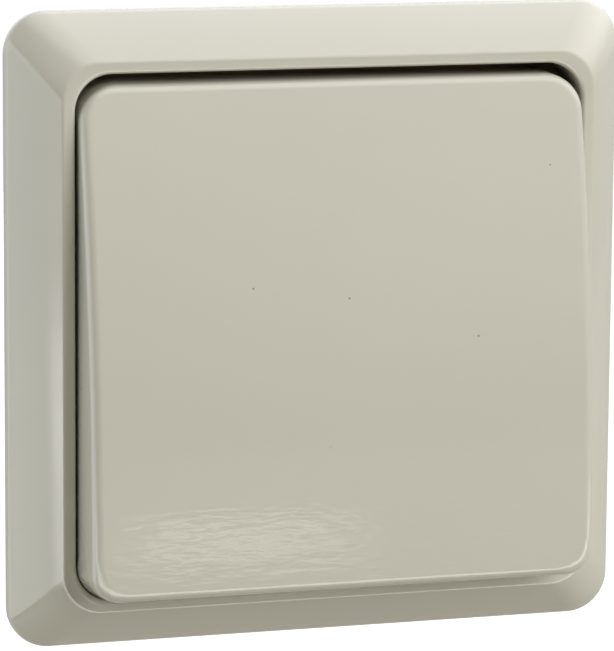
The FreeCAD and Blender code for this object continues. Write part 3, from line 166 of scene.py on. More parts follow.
def creamMoulding(name, look):
    material, tree, shader, place = startMaterial(name)
    cloud = noisePattern(tree, place, (look["cloudScale"],) * 3)
    tone = toned(tree, cloud, look["color"], 1.0 - look["cloud"], 1.0 + look["cloud"])
    specks = tree.nodes.new("ShaderNodeTexVoronoi")
    specks.inputs["Scale"].default_value = 1.0 / look["dustSpacing"]
    tree.links.new(place, specks.inputs["Vector"])
    reach = look["dustSize"] / look["dustSpacing"]
    dusty = rescaled(tree, specks.outputs["Distance"], look["dustStrength"], 0.0, reach * look["dustCore"], reach)
    tree.links.new(mixed(tree, "RGBA", dusty, tone, (*look["dustColor"], 1.0)), shader.inputs["Base Color"])
    haze = noisePattern(tree, place, (look["hazeScale"],) * 3, look["hazeDetail"])
    glossiest, dullest = (look["roughness"] * share for share in look["hazeSpan"])
    tree.links.new(rescaled(tree, haze, glossiest, dullest), shader.inputs["Roughness"])
    shader.inputs["IOR"].default_value = look["ior"]
    swell = noisePattern(tree, place, (look["swellScale"],) * 3, look["swellDetail"])
    ripple = noisePattern(tree, place, look["rippleScale"], look["rippleDetail"], look["rippleRough"])
    fade = rescaled(tree, split(tree, place)["Z"], 1.0, 0.0, *look["rippleFade"])
    rippled = raisedBy(tree, mathOf(tree, "MULTIPLY", ripple, fade), look["rippleDepth"],
                       raisedBy(tree, swell, look["swellDepth"]))
    tree.links.new(rippled, shader.inputs["Normal"])
    return material


# plastic that the wall box hides: moulded with a fine eroded grain

plasticShared = {"cloudScale": 90.0, "grainDetail": 2.0, "toneSpan": (0.90, 1.08), "roughnessSpan": 0.06}

plasticLook = {
    "inner_plastic": {**plasticShared, "color": (0.50, 0.49, 0.43), "roughness": 0.46,
                      "grainScale": 2600.0, "grainDepth": 0.000010},
    "base_plastic": {**plasticShared, "color": (0.022, 0.023, 0.025), "roughness": 0.50,
                     "grainScale": 2100.0, "grainDepth": 0.000022},
    "plunger_plastic": {**plasticShared, "color": (0.33, 0.03, 0.02), "roughness": 0.42,
                        "grainScale": 2600.0, "grainDepth": 0.000010},
    "lever_plastic": {**plasticShared, "color": (0.68, 0.11, 0.01), "roughness": 0.38,
                      "grainScale": 2600.0, "grainDepth": 0.000010},
}


def grainedPlastic(name, look):
    material, tree, shader, place = startMaterial(name)
    cloud = noisePattern(tree, place, (look["cloudScale"],) * 3)
    grain = noisePattern(tree, place, (look["grainScale"],) * 3, look["grainDetail"])
    tree.links.new(toned(tree, cloud, look["color"], *look["toneSpan"]), shader.inputs["Base Color"])
    glossiest, dullest = look["roughness"] - look["roughnessSpan"], look["roughness"] + look["roughnessSpan"]
    tree.links.new(rescaled(tree, cloud, glossiest, dullest), shader.inputs["Roughness"])
    tree.links.new(raisedBy(tree, grain, look["grainDepth"]), shader.inputs["Normal"])
    return material


# rolled, bent and drawn metal: fine lines along the sheet or wire, and uneven plating

metalShared = {"lineDetail": 4.0, "lineRough": 0.6, "toneSpan": (0.86, 1.08), "roughnessSpan": (-0.08, 0.12),
               "metallic": 1.0}

metalLook = {
    # painted shade: the support plate's sheet is coloured dark brown, standing in for the shade deep in the gaps
    # behind the rocker
    "dark_steel": {**metalShared, "color": (0.10, 0.060, 0.020), "roughness": 0.55, "plating": 130.0,
                   "lines": (120.0, 900.0, 1500.0), "depth": 0.000003, "metallic": 0.0},   # painted shade: dark brown and matt so that the gaps round the rocker read as shadowed
    "zinc_sheet": {**metalShared, "color": (0.60, 0.61, 0.62), "roughness": 0.34, "plating": 300.0,
                   "lines": (900.0, 900.0, 900.0), "depth": 0.000003},
    "claw_steel": {**metalShared, "color": (0.58, 0.55, 0.45), "roughness": 0.34, "plating": 260.0,
                   "lines": (1200.0, 300.0, 1200.0), "depth": 0.000003},
    "screw_steel": {**metalShared, "color": (0.62, 0.61, 0.58), "roughness": 0.28, "plating": 420.0,
                    "lines": (900.0, 900.0, 900.0), "depth": 0.000002},
    "spring_steel": {**metalShared, "color": (0.42, 0.43, 0.45), "roughness": 0.26, "plating": 380.0,
                     "lines": (1100.0, 1100.0, 1100.0), "depth": 0.000002},
    "contact_brass": {**metalShared, "color": (0.72, 0.50, 0.19), "roughness": 0.30, "plating": 220.0,
                      "lines": (240.0, 1400.0, 240.0), "depth": 0.000003},
    "contact_tips": {**metalShared, "color": (0.78, 0.77, 0.74), "roughness": 0.30, "plating": 500.0,
                     "lines": (900.0, 900.0, 900.0), "depth": 0.000002},
}


def drawnMetal(name, look):
    material, tree, shader, place = startMaterial(name)
    lines = noisePattern(tree, place, look["lines"], look["lineDetail"], look["lineRough"])
    plating = noisePattern(tree, place, (look["plating"],) * 3)
    tree.links.new(toned(tree, plating, look["color"], *look["toneSpan"]), shader.inputs["Base Color"])
    glossiest, dullest = (look["roughness"] + change for change in look["roughnessSpan"])
    tree.links.new(rescaled(tree, lines, glossiest, dullest), shader.inputs["Roughness"])
    tree.links.new(raisedBy(tree, lines, look["depth"]), shader.inputs["Normal"])
    shader.inputs["Metallic"].default_value = look["metallic"]
    return material


finishes = {
    "frame_plastic": creamMoulding("framePlastic", creamLook["frame"]),
    "rocker_plastic": creamMoulding("rockerPlastic", creamLook["rocker"]),
}
for slotName, look in plasticLook.items():
    finishes[slotName] = grainedPlastic(slotName, look)
for slotName, look in metalLook.items():
    finishes[slotName] = drawnMetal(slotName, look)
print("finishes made:", len(finishes))


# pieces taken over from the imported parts, merged, with softened edges and even shading

meshCare = {"mergeWithin": 0.000001,                     # metres
            "flatWithin": 0.4, "bevelFrom": 30.0,        # degrees
            "bevelSegments": 2, "normalWeight": 100}


def editMesh(mesh, change):
    form = bmesh.new()
    form.from_mesh(mesh)
    change(form)
    form.to_mesh(mesh)
    form.free()


def cleanCopy(nodeName, pieceName):
    mesh = nodes[nodeName].data.copy()
    mesh.name = pieceName
    editMesh(mesh, lambda form: bmesh.ops.remove_doubles(form, verts=form.verts, dist=meshCare["mergeWithin"]))
    piece = bpy.data.objects.new(pieceName, mesh)
    bpy.context.scene.collection.objects.link(piece)
    mesh.materials.clear()
    mesh.materials.append(finishes[slotOf[nodeName]])
    return piece


def softenEdges(piece, width):
    flat = math.radians(meshCare["flatWithin"])
    editMesh(piece.data, lambda form: bmesh.ops.dissolve_limit(
        form, angle_limit=flat, verts=form.verts, edges=form.edges))
    bevel = piece.modifiers.new("SoftEdges", "BEVEL")
    bevel.width = width
    bevel.segments = meshCare["bevelSegments"]
    bevel.limit_method = "ANGLE"
    bevel.angle_limit = math.radians(meshCare["bevelFrom"])
    bevel.use_clamp_overlap = True


def shadeByAngle(piece, degrees):
    piece.data.shade_smooth()
    piece.data.set_sharp_from_angle(angle=math.radians(degrees))
    weighted = piece.modifiers.new("EvenShading", "WEIGHTED_NORMAL")
    weighted.keep_sharp = True
    weighted.weight = meshCare["normalWeight"]


def standIn(piece, nodeName):
    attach(piece, bodyOf[nodeName])
    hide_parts(nodeName)


# the cover frame: its back as packed, its front skin drawn anew with a slightly domed slope

coverFrame = {
    "node": "cover_frame", "name": "coverFrame", "angle": 60.0,
    "half": 0.04025, "opening": 0.03305, "height": 0.0083,              # half widths outside and inside, and depth
    "corner": 0.0053, "cornerInside": 0.0047,
    "foot": 0.00015, "rim": 0.00070, "rimRound": 0.0020,                # the skin starts at the foot
    "slopeLow": 57.0, "slopeHigh": 44.5,                                # degrees; the slope domes between them
    "crestRound": 0.0006, "lipRound": 0.0005,
    "steps": (6, 9, 8, 8), "perCorner": 20,                             # rim, slope, crest and lip
    "touch": 0.00001,
    "skin": {"tilt": 0.2, "above": 0.0035, "beyond": 0.0362, "rimTilt": 0.5, "rimBeyond": 0.0386},
}


def isFrontSkin(face, look):                             # a packed face of the lip's round, the slope or the rim
    skin = look["skin"]
    centre, facing = face.calc_center_median(), face.normal
    reach = max(abs(centre.x), abs(centre.z))
    outward = (centre.x * facing.x + centre.z * facing.z) / math.hypot(centre.x, centre.z)
    return (-centre.y > look["height"] - look["lipRound"] + look["touch"]
            or (facing.y < -skin["tilt"] and (-centre.y > skin["above"] or reach > skin["beyond"]))
            or (outward > skin["rimTilt"] and reach > skin["rimBeyond"]))


def arcSteps(half, level, radius, fromTilt, toTilt, steps):
    rows = []                                            # tilt 90 faces sideways, 0 faces the room
    start = math.radians(fromTilt)
    for step in range(1, steps + 1):
        tilt = math.radians(fromTilt + (toTilt - fromTilt) * step / steps)
        rows.append((half - radius * (math.sin(start) - math.sin(tilt)),
                     level + radius * (math.cos(tilt) - math.cos(start))))
    return rows


def frameProfile(look):
    low, high = math.cos(math.radians(look["slopeLow"])), math.cos(math.radians(look["slopeHigh"]))
    left = look["height"] - look["rim"] - look["rimRound"] * low - look["crestRound"] * (1.0 - high)
    rimSteps, slopeSteps, crestSteps, lipSteps = look["steps"]
    rows = [(look["half"], look["foot"]), (look["half"], look["rim"])]
    rows += arcSteps(*rows[-1], look["rimRound"], 90.0, look["slopeLow"], rimSteps)
    rows += arcSteps(*rows[-1], left / (high - low), look["slopeLow"], look["slopeHigh"], slopeSteps)
    rows += arcSteps(*rows[-1], look["crestRound"], look["slopeHigh"], 0.0, crestSteps)
    rows.append((look["opening"] + look["lipRound"], look["height"]))
    rows += arcSteps(*rows[-1], look["lipRound"], 0.0, -90.0, lipSteps)
    return rows[:-1]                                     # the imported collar's own edge ends the lip


def squareRing(form, look, half, level):
    share = (half - look["opening"]) / (look["half"] - look["opening"])
    corner = look["cornerInside"] + (look["corner"] - look["cornerInside"]) * share
    ring = []
    for quarter, (sideX, sideZ) in enumerate(((1, 1), (-1, 1), (-1, -1), (1, -1))):
        for step in range(look["perCorner"] + 1):
            angle = math.radians(90.0 * (quarter + step / look["perCorner"]))
            ring.append(form.verts.new((sideX * (half - corner) + corner * math.cos(angle), -level,
                                        sideZ * (half - corner) + corner * math.sin(angle))))
    return ring


def redrawFront(mesh, look):
    form = bmesh.new()
    form.from_mesh(mesh)
    skin = [face for face in form.faces if isFrontSkin(face, look)]
    bmesh.ops.delete(form, geom=skin, context="FACES")
    openEdges = [edge for edge in form.edges if edge.is_boundary]
    rings = [squareRing(form, look, half, level) for half, level in frameProfile(look)]
    for lower, upper in zip(rings, rings[1:]):
        for at in range(len(lower)):
            following = (at + 1) % len(lower)
            form.faces.new((lower[at], lower[following], upper[following], upper[at]))
    for ring, level in ((rings[0], 0.0), (rings[-1], look["height"] - look["lipRound"])):
        ends = [edge for edge in openEdges if abs(edge.verts[0].co.y + level) < look["touch"]]
        ends += [form.edges.get((ring[at - 1], ring[at])) for at in range(len(ring))]
        bmesh.ops.bridge_loops(form, edges=ends)
    bmesh.ops.recalc_face_normals(form, faces=form.faces)
    print("frame edges left open:", sum(1 for edge in form.edges if edge.is_boundary))
    form.to_mesh(mesh)
    form.free()


piece = cleanCopy(coverFrame["node"], coverFrame["name"])
redrawFront(piece.data, coverFrame)
shadeByAngle(piece, coverFrame["angle"])
standIn(piece, coverFrame["node"])


# the rocker plate, its skirts let out a little so that the gaps close as far as the photo shows

rockerPlate = {
    "node": "rocker_plate", "name": "rockerPlate", "angle": 50.0,
    "sideways": 0.00042, "downwards": 0.00100, "upwards": 0.00110,      # how far the skirts are let out
    "from": 0.0240, "to": 0.0290,                                       # from the middle, where that sets in
    "topEdge": -0.0080, "topFoot": -0.0016,                             # the top skirt's depth, into the wall
    "corner": 0.0004, "cornerFrom": 0.0594, "cornerTo": 0.0619,         # both distances, sideways and down, added
}


def eased(share):
    share = min(1.0, max(0.0, share))
    return share * share * (3.0 - 2.0 * share)


def letOut(value, look, reach):
    return value + math.copysign(reach * eased((abs(value) - look["from"]) / (look["to"] - look["from"])), value)


def fillCorner(place, look):                             # the two lower corners are fuller than as packed
    along = (abs(place.x) + abs(place.z) - look["cornerFrom"]) / (look["cornerTo"] - look["cornerFrom"])
    place.x += math.copysign(look["corner"] * eased(along), place.x)
    place.z -= look["corner"] * eased(along)


piece = cleanCopy(rockerPlate["node"], rockerPlate["name"])
for vertex in piece.data.vertices:
    vertex.co.x = letOut(vertex.co.x, rockerPlate, rockerPlate["sideways"])
    if vertex.co.z < 0.0:
        vertex.co.z = letOut(vertex.co.z, rockerPlate, rockerPlate["downwards"])
        fillCorner(vertex.co, rockerPlate)
    else:                                                # the top skirt only spreads towards its foot
        depth = (vertex.co.y - rockerPlate["topEdge"]) / (rockerPlate["topFoot"] - rockerPlate["topEdge"])
        spread = rockerPlate["upwards"] * min(1.0, max(0.0, depth))
        vertex.co.z = letOut(vertex.co.z, rockerPlate, spread)
shadeByAngle(piece, rockerPlate["angle"])
standIn(piece, rockerPlate["node"])
print("frame and rocker plate made")


# mouldings and sheet parts behind the plate

rockerCradle = {"node": "rocker_cradle", "name": "rockerCradle", "angle": 35.0, "edge": 0.00015}
supportPlate = {"node": "support_plate", "name": "supportPlate", "angle": 35.0, "edge": 0.00008}
switchBase = {"node": "switch_base", "name": "switchBase", "angle": 35.0, "edge": 0.00018}
baseCover = {"node": "base_cover", "name": "baseCover", "angle": 35.0, "edge": 0.00012}
lineLever = {"node": "line_release_lever", "name": "lineReleaseLever", "angle": 35.0, "edge": 0.00012}
loadLever = {"node": "load_release_lever", "name": "loadReleaseLever", "angle": 35.0, "edge": 0.00012}
leftClaw = {"node": "left_claw", "name": "leftClaw", "angle": 35.0, "edge": 0.00010}
rightClaw = {"node": "right_claw", "name": "rightClaw", "angle": 35.0, "edge": 0.00010}
contactPlunger = {"node": "contact_plunger", "name": "contactPlunger", "angle": 35.0, "edge": 0.00010}
dressed = (rockerCradle, supportPlate, switchBase, baseCover, lineLever, loadLever,
           leftClaw, rightClaw, contactPlunger)

for look in dressed:
    piece = cleanCopy(look["node"], look["name"])
    softenEdges(piece, look["edge"])
    shadeByAngle(piece, look["angle"])
    standIn(piece, look["node"])
print("mouldings and sheet parts dressed:", len(dressed))


# springs of the claws and of the line and load clamps, copied from the imported parts

leftClawSpring = {"node": "left_claw_spring", "name": "leftClawSpring", "angle": 50.0, "joint": "left_claw_spread",
                  "axis": (0, 1, 0), "anchor": (-0.0259, 0.0, 0.0085), "keep": 0.21}
rightClawSpring = {"node": "right_claw_spring", "name": "rightClawSpring", "angle": 50.0,
                   "joint": "right_claw_spread", "axis": (0, 1, 0), "anchor": (0.0259, 0.0, -0.0085), "keep": 0.21}
lineClampSpring = {"node": "line_clamp_spring", "name": "lineClampSpring", "angle": 35.0, "joint": "line_release",
                   "axis": (1, 0, 0), "anchor": (-0.0097, 0.0108, 0.0045), "keep": 0.54}
loadClampSpring = {"node": "load_clamp_spring", "name": "loadClampSpring", "angle": 35.0, "joint": "load_release",
                   "axis": (1, 0, 0), "anchor": (0.0097, 0.0108, 0.0045), "keep": 0.54}

for look in (leftClawSpring, rightClawSpring, lineClampSpring, loadClampSpring):
    piece = cleanCopy(look["node"], look["name"])
    shadeByAngle(piece, look["angle"])
    standIn(piece, look["node"])
    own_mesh(piece)
print("claw and clamp springs made: 4")


# Geometry Nodes: wire or thread wound on a coil, and one fastener set out at four corners

def startTree(name, rows):
    tree = bpy.data.node_groups.new(name, "GeometryNodeTree")
    sockets = {}
    for label, kind in rows:
        socket = tree.interface.new_socket(label, in_out="INPUT", socket_type="NodeSocket" + kind)
        sockets[label] = socket.identifier
    tree.interface.new_socket("Geometry", in_out="OUTPUT", socket_type="NodeSocketGeometry")
    return tree, sockets, tree.nodes.new("NodeGroupInput")


def endTree(tree, given, shape):
    smooth = tree.nodes.new("GeometryNodeSetShadeSmooth")
    whole = tree.nodes.new("GeometryNodeRealizeInstances")
    finish = tree.nodes.new("GeometryNodeSetMaterial")
    leave = tree.nodes.new("NodeGroupOutput")
    tree.links.new(shape, smooth.inputs["Geometry"])
    tree.links.new(smooth.outputs["Geometry"], whole.inputs["Geometry"])
    tree.links.new(whole.outputs["Geometry"], finish.inputs["Geometry"])
    tree.links.new(given.outputs["Finish"], finish.inputs["Material"])
    tree.links.new(finish.outputs["Geometry"], leave.inputs["Geometry"])


def makeCoilTree():
    tree, sockets, given = startTree("coilOfWire", (
        ("Turns", "Float"), ("Coil Radius", "Float"), ("Wire Radius", "Float"), ("Height", "Float"),
        ("Closed Ends", "Float"), ("Sides", "Int"), ("Steps", "Int"), ("Place", "Vector"), ("Finish", "Material")))
    spiral = tree.nodes.new("GeometryNodeCurveSpiral")
    tree.links.new(given.outputs["Steps"], spiral.inputs["Resolution"])
    tree.links.new(given.outputs["Turns"], spiral.inputs["Rotations"])
    tree.links.new(given.outputs["Coil Radius"], spiral.inputs["Start Radius"])
    tree.links.new(given.outputs["Coil Radius"], spiral.inputs["End Radius"])
    along = tree.nodes.new("GeometryNodeSplineParameter").outputs["Factor"]
    slowEnds = tree.nodes.new("ShaderNodeMapRange")      # closed ends rise slowly, the middle turns fast
    slowEnds.interpolation_type = "SMOOTHSTEP"
    tree.links.new(along, slowEnds.inputs["Value"])
    rise = mixed(tree, "FLOAT", given.outputs["Closed Ends"], along, slowEnds.outputs["Result"])
    here = split(tree, tree.nodes.new("GeometryNodeInputPosition").outputs["Position"])
    joined = tree.nodes.new("ShaderNodeCombineXYZ")
    tree.links.new(here["X"], joined.inputs["X"])
    tree.links.new(here["Y"], joined.inputs["Y"])
    tree.links.new(mathOf(tree, "MULTIPLY", rise, given.outputs["Height"]), joined.inputs["Z"])
    lifted = tree.nodes.new("GeometryNodeSetPosition")
    tree.links.new(spiral.outputs["Curve"], lifted.inputs["Geometry"])
    tree.links.new(joined.outputs["Vector"], lifted.inputs["Position"])
    upright = tree.nodes.new("GeometryNodeSetCurveNormal")
    upright.mode = "Z_UP"
    tree.links.new(lifted.outputs["Geometry"], upright.inputs["Curve"])
    section = tree.nodes.new("GeometryNodeCurvePrimitiveCircle")
    tree.links.new(given.outputs["Sides"], section.inputs["Resolution"])
    tree.links.new(given.outputs["Wire Radius"], section.inputs["Radius"])
    wire = tree.nodes.new("GeometryNodeCurveToMesh")
    wire.inputs["Fill Caps"].default_value = True
    tree.links.new(upright.outputs["Curve"], wire.inputs["Curve"])
    tree.links.new(section.outputs["Curve"], wire.inputs["Profile Curve"])
    turned = tree.nodes.new("GeometryNodeTransform")     # the coil's axis lies along Y, into the wall
    turned.inputs["Rotation"].default_value = (-math.pi / 2, 0.0, 0.0)
    tree.links.new(wire.outputs["Mesh"], turned.inputs["Geometry"])
    tree.links.new(given.outputs["Place"], turned.inputs["Translation"])
    endTree(tree, given, turned.outputs["Geometry"])
    return tree, sockets


def makeSetTree():
    tree, sockets, given = startTree("fastenerSet", (
        ("Geometry", "Geometry"), ("Across", "Float"), ("Up", "Float"), ("Place", "Vector"), ("Finish", "Material")))
    grid = tree.nodes.new("GeometryNodeMeshGrid")
    grid.inputs["Vertices X"].default_value = 2
    grid.inputs["Vertices Y"].default_value = 2
    tree.links.new(given.outputs["Across"], grid.inputs["Size X"])
    tree.links.new(given.outputs["Up"], grid.inputs["Size Y"])
    turned = tree.nodes.new("GeometryNodeTransform")     # the grid stands parallel to the wall
    turned.inputs["Rotation"].default_value = (math.pi / 2, 0.0, 0.0)
    tree.links.new(grid.outputs["Mesh"], turned.inputs["Geometry"])
    tree.links.new(given.outputs["Place"], turned.inputs["Translation"])
    placed = tree.nodes.new("GeometryNodeInstanceOnPoints")
    tree.links.new(turned.outputs["Geometry"], placed.inputs["Points"])
    tree.links.new(given.outputs["Geometry"], placed.inputs["Instance"])
    endTree(tree, given, placed.outputs["Instances"])
    return tree, sockets


coilTree, coilSockets = makeCoilTree()
setTree, setSockets = makeSetTree()


def grown(pieceName, tree, sockets, values, seed=None):
    piece = bpy.data.objects.new(pieceName, seed or bpy.data.meshes.new(pieceName))
    bpy.context.scene.collection.objects.link(piece)
    grower = piece.modifiers.new("Grow", "NODES")
    grower.node_group = tree
    for label, value in values.items():
        grower[sockets[label]] = value
    depsgraph = bpy.context.evaluated_depsgraph_get()
    plain = bpy.data.meshes.new_from_object(piece.evaluated_get(depsgraph))
    piece.modifiers.remove(grower)
    plain.name = pieceName
    piece.data = plain
    return piece


def coil(pieceName, look, place, height, radius, finish):
    return grown(pieceName, coilTree, coilSockets, {
        "Turns": look["turns"], "Coil Radius": radius, "Wire Radius": look["wire"], "Height": height,
        "Closed Ends": look["closed"], "Sides": look["sides"], "Steps": look["steps"], "Place": place,
        "Finish": finish})


# the two compression springs, wound of round wire with closed ends to the length of their imported parts

returnSpring = {"node": "return_spring", "name": "returnSpring", "turns": 5.5, "wire": 0.00028, "closed": 0.55,
                "sides": 10, "steps": 28, "joint": "rocker_press", "keep": 0.84}
plungerSpring = {"node": "plunger_spring", "name": "plungerSpring", "turns": 6.5, "wire": 0.00019, "closed": 0.50,
                 "sides": 10, "steps": 28, "joint": "plunger_slide", "keep": 0.60}

for look in (returnSpring, plungerSpring):
    near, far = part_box(look["node"])                     # near is towards the room, far is into the wall
    middle = (near + far) / 2
    radius = (far.x - near.x) / 2 - look["wire"]
    height = far.y - near.y - 2 * look["wire"]
    start = (middle.x, near.y + look["wire"], middle.z)
    piece = coil(look["name"], look, start, height, radius, finishes[slotOf[look["node"]]])
    standIn(piece, look["node"])
    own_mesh(piece)
print("springs wound: 2")


# the claw screws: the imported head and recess, a slimmer core, and a thread wound on it

clawScrews = {
    "nodes": {"left_claw_screw": "leftClawScrew", "right_claw_screw": "rightClawScrew"},
    "shank": 0.0015, "shankLength": 0.0125, "core": 0.00124,            # radii, and the length under the head
    "pitch": 0.0005, "edge": 0.00008, "angle": 35.0, "touch": 0.00001,
    "thread": {"turns": 22.0, "wire": 0.00025, "closed": 0.0, "sides": 4, "steps": 18},
}


def slimCore(form, look, middle, underHead):
    for vertex in form.verts:
        offset = Vector((vertex.co.x - middle.x, 0.0, vertex.co.z - middle.z))
        if vertex.co.y > underHead - look["touch"] and offset.length < look["shank"] + 2 * look["touch"]:
            offset *= look["core"] / look["shank"]
            vertex.co.x = middle.x + offset.x
            vertex.co.z = middle.z + offset.z


for nodeName, pieceName in clawScrews["nodes"].items():
    piece = cleanCopy(nodeName, pieceName)
    near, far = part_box(nodeName)
    middle = (near + far) / 2
    underHead = far.y - clawScrews["shankLength"]
    editMesh(piece.data, lambda form: slimCore(form, clawScrews, middle, underHead))
    softenEdges(piece, clawScrews["edge"])
    shadeByAngle(piece, clawScrews["angle"])
    run = clawScrews["thread"]["turns"] * clawScrews["pitch"]
    start = (middle.x, far.y - clawScrews["thread"]["wire"] - run, middle.z)
    thread = coil(pieceName + "Thread", clawScrews["thread"], start, run, clawScrews["core"],
                  finishes[slotOf[nodeName]])
    standIn(piece, nodeName)
    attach(thread, bodyOf[nodeName])
print("claw screws threaded: 2")


# four rivets: one turned profile, domed at the head, set out at four corners

plateRivets = {"node": "plate_rivets", "name": "plateRivets", "head": 0.0019, "rise": 0.0007, "shank": 0.0010,
               "tip": 0.0008, "tipLength": 0.0002, "domeSteps": 6, "segments": 28, "angle": 40.0}


def turnedMesh(name, profile, segments):                 # rows of radius and depth, turned about Y
    mesh = bpy.data.meshes.new(name)
    points = []
    faces = []
    for radius, level in profile:
        for step in range(segments):
            angle = 2 * math.pi * step / segments
            points.append((radius * math.cos(angle), level, radius * math.sin(angle)))
    for row in range(len(profile) - 1):
        for step in range(segments):
            following = (step + 1) % segments
            faces.append((row * segments + step, row * segments + following,
                          (row + 1) * segments + following, (row + 1) * segments + step))
    last = (len(profile) - 1) * segments
    faces.append(tuple(reversed(range(segments))))
    faces.append(tuple(range(last, last + segments)))
    mesh.from_pydata(points, [], faces)
    editMesh(mesh, lambda form: bmesh.ops.recalc_face_normals(form, faces=form.faces))
    return mesh


near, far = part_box(plateRivets["node"])
sheetFace = near.y + plateRivets["rise"]
profile = []
for step in range(1, plateRivets["domeSteps"] + 1):      # the domed head, from near its middle to its rim
    angle = math.radians(90.0 * step / plateRivets["domeSteps"])
    profile.append((plateRivets["head"] * math.sin(angle), sheetFace - plateRivets["rise"] * math.cos(angle)))
profile += [(plateRivets["shank"], sheetFace), (plateRivets["shank"], far.y - plateRivets["tipLength"]),
            (plateRivets["tip"], far.y)]
rivet = turnedMesh("rivet", profile, plateRivets["segments"])
across = far.x - near.x - 2 * plateRivets["head"]
up = far.z - near.z - 2 * plateRivets["head"]
piece = grown(plateRivets["name"], setTree, setSockets, {
    "Across": across, "Up": up, "Place": (0.0, 0.0, 0.0), "Finish": finishes[slotOf[plateRivets["node"]]]}, rivet)
shadeByAngle(piece, plateRivets["angle"])
standIn(piece, plateRivets["node"])
print("rivets set: 4")

for nodeName, node in nodes.items():                     # what isn't replaced keeps its shape and gets its finish
    node.data.materials.clear()
    node.data.materials.append(finishes[slotOf[nodeName]])


# studio: a pale floor, a white room, five lamps and the photograph's camera

studioLook = {
    "floorHeight": -0.70,           # well below the switch, which hangs on no wall here
    "floorWidth": 8.0,
    "floorFront": -6.16,            # its near edge is mirrored across the rocker plate, low down
    "floorBack": 5.0,
    "floorColor": (0.50, 0.48, 0.41),
    "floorGlow": 0.95,              # added for the camera, so that the floor stays white
    "floorMirror": 0.40,            # added for glossy faces
    "stripMirror": 4.2,             # and for them only, a bright strip across the floor, which lines the lower edges
    "stripAt": 0.98,                # its distance in front of the wall
    "stripSpan": (0.25, 0.5),       # from its middle, where it starts and ends to fade
    "ambient": 0.20,
    "ambientColor": (1.0, 0.93, 0.76),
    "mirroredLow": 0.22,            # what glossy faces see of the room, at and below their own height
    "mirroredHigh": 1.00,           # and well above it
    "mirroredSpan": (-0.05, 0.35),  # the heights between which it brightens, 1 being straight up
    "mirroredTop": 2.5,             # the pale ceiling
    "topSpan": (0.50, 0.95),
    "topLean": 0.45,                # it reaches further down on the right
    "mirroredBack": 0.8,            # the pale backdrop behind
    "backSpan": (0.0, 0.5),
    "backFade": (-0.25, 0.0),       # the heights over which it fades towards the floor
    "lamps": {
        "keyLamp": {"place": (0.716, -0.95, 0.53), "size": (1.1, 1.1), "power": 17.3, "color": (1.0, 0.99, 0.98),
                    "hidden": True},
        "fillLamp": {"place": (-0.42, -1.13, 0.70), "size": (0.8, 0.8), "power": 0.9, "color": (1.0, 0.99, 0.97)},
        "topLamp": {"place": (0.286, 0.091, 0.953), "size": (0.36, 0.30), "power": 0.9, "color": (1.0, 1.0, 1.0),
                    "hidden": True},
        "leftLamp": {"place": (-1.0, 0.22, -0.08), "size": (1.12, 1.12), "power": 6.6, "color": (0.94, 0.97, 1.0),
                     "round": True},
        "streakLamp": {"place": (0.097, -0.398, -0.109), "size": (0.048, 0.014), "power": 0.0074,
                       "color": (1.0, 1.0, 1.0)},
    },
    # painted shade: a near-black, faintly brown card just behind the left box-screw slot, in place of the wall box's
    # shade
    "card": {"low": (-0.0340, -0.0055), "high": (-0.0265, 0.0045), "depth": 0.0006, "color": (0.02, 0.014, 0.008)},
    "paperRoughness": 0.9,
}

cameraLook = {
    "place": (-0.15137, -0.49195, 0.08842),
    "turnDegrees": (80.1705, -0.4057, -16.9525),
    "lens": 226.4,
    "sensor": 36.0,
    "clipStart": 0.01,
}


def makePaper(name, color):
    material, tree, shader, place = startMaterial(name)
    shader.inputs["Base Color"].default_value = (*color, 1.0)
    shader.inputs["Roughness"].default_value = studioLook["paperRoughness"]
    return material, tree, shader, place


def makeSheet(name, corners, material):
    mesh = bpy.data.meshes.new(name)
    mesh.from_pydata(corners, [], [(0, 1, 2, 3)])
    mesh.materials.append(material)
    sheet = bpy.data.objects.new(name, mesh)
    bpy.context.scene.collection.objects.link(sheet)
    return sheet


def makeFloor(look):
    material, tree, shader, place = makePaper("floorPaper", look["floorColor"])
    rays = tree.nodes.new("ShaderNodeLightPath").outputs
    fromStrip = mathOf(tree, "ABSOLUTE", mathOf(tree, "ADD", split(tree, place)["Y"], look["stripAt"]))
    brightest = look["floorMirror"] + look["stripMirror"]
    strip = rescaled(tree, fromStrip, brightest, look["floorMirror"], *look["stripSpan"])
    mirrored = mathOf(tree, "MULTIPLY", rays["Is Glossy Ray"], strip)
    glow = mathOf(tree, "MULTIPLY_ADD", rays["Is Camera Ray"], look["floorGlow"], mirrored)
    shader.inputs["Emission Color"].default_value = (1.0, 1.0, 1.0, 1.0)
    tree.links.new(glow, shader.inputs["Emission Strength"])
    half, front, back, level = look["floorWidth"] / 2, look["floorFront"], look["floorBack"], look["floorHeight"]
    corners = [(-half, front, level), (half, front, level), (half, back, level), (-half, back, level)]
    floor = makeSheet("studioFloor", corners, material)


# painted shade: a near-black sheet where the wall box would shade the slot
def makeCard(look):
    (left, low), (right, high) = look["low"], look["high"]
    depth = look["depth"]
    corners = [(left, depth, low), (right, depth, low), (right, depth, high), (left, depth, high)]
    card = makeSheet("paintedShadeCard", corners, makePaper("paintedShadeCardPaper", look["color"])[0])


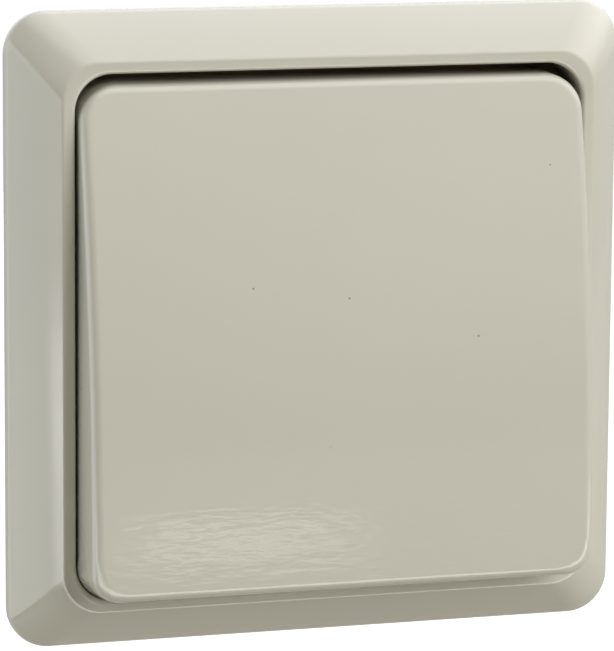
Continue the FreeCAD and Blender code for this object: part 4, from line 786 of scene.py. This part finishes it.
def makeWorld(look):
    world = bpy.data.worlds.new("studioRoom")
    bpy.context.scene.world = world
    world.use_nodes = True
    tree = world.node_tree
    rays = tree.nodes.new("ShaderNodeLightPath").outputs
    mirrored = mathOf(tree, "MAXIMUM", rays["Is Glossy Ray"], rays["Is Transmission Ray"])
    towards = split(tree, tree.nodes.new("ShaderNodeTexCoord").outputs["Generated"])
    room = rescaled(tree, towards["Z"], look["mirroredLow"], look["mirroredHigh"], *look["mirroredSpan"])
    lean = mathOf(tree, "MULTIPLY_ADD", towards["X"], look["topLean"], towards["Z"])
    ceiling = rescaled(tree, lean, 0.0, look["mirroredTop"], *look["topSpan"])
    ceiling.node.interpolation_type = "SMOOTHSTEP"
    backdrop = rescaled(tree, towards["Y"], 0.0, look["mirroredBack"], *look["backSpan"])
    aboveFloor = rescaled(tree, towards["Z"], 0.0, 1.0, *look["backFade"])
    room = mathOf(tree, "ADD", mathOf(tree, "MULTIPLY_ADD", backdrop, aboveFloor, room), ceiling)
    strength = mixed(tree, "FLOAT", mirrored, look["ambient"], room)
    direct = mathOf(tree, "MAXIMUM", mirrored, rays["Is Camera Ray"])
    tint = mixed(tree, "RGBA", direct, (*look["ambientColor"], 1.0), (1.0, 1.0, 1.0, 1.0))
    background = tree.nodes["Background"]
    tree.links.new(tint, background.inputs["Color"])
    tree.links.new(mathOf(tree, "MAXIMUM", strength, rays["Is Camera Ray"]), background.inputs["Strength"])


def makeLamp(name, look):
    lamp = bpy.data.lights.new(name, "AREA")
    lamp.shape = "ELLIPSE" if look.get("round") else "RECTANGLE"
    lamp.size, lamp.size_y = look["size"]
    lamp.energy = look["power"]
    lamp.color = look["color"]
    holder = bpy.data.objects.new(name, lamp)
    holder.location = look["place"]
    holder.rotation_euler = (-Vector(look["place"])).to_track_quat("-Z", "Y").to_euler()
    holder.visible_glossy = not look.get("hidden", False)
    bpy.context.scene.collection.objects.link(holder)


def makeCamera(look):
    lens = bpy.data.cameras.new("photoCamera")
    lens.lens = look["lens"]
    lens.sensor_width = look["sensor"]
    lens.clip_start = look["clipStart"]
    holder = bpy.data.objects.new("photoCamera", lens)
    holder.location = look["place"]
    holder.rotation_euler = Euler([math.radians(turn) for turn in look["turnDegrees"]], "XYZ")
    bpy.context.scene.collection.objects.link(holder)
    bpy.context.scene.camera = holder


makeFloor(studioLook)
makeCard(studioLook["card"])     # painted shade: a near-black sheet behind the left box-screw slot keeps the white room from showing through it
makeWorld(studioLook)
for lampName, look in studioLook["lamps"].items():
    makeLamp(lampName, look)
makeCamera(cameraLook)
bpy.context.scene.view_settings.view_transform = "Standard"
print("studio ready")
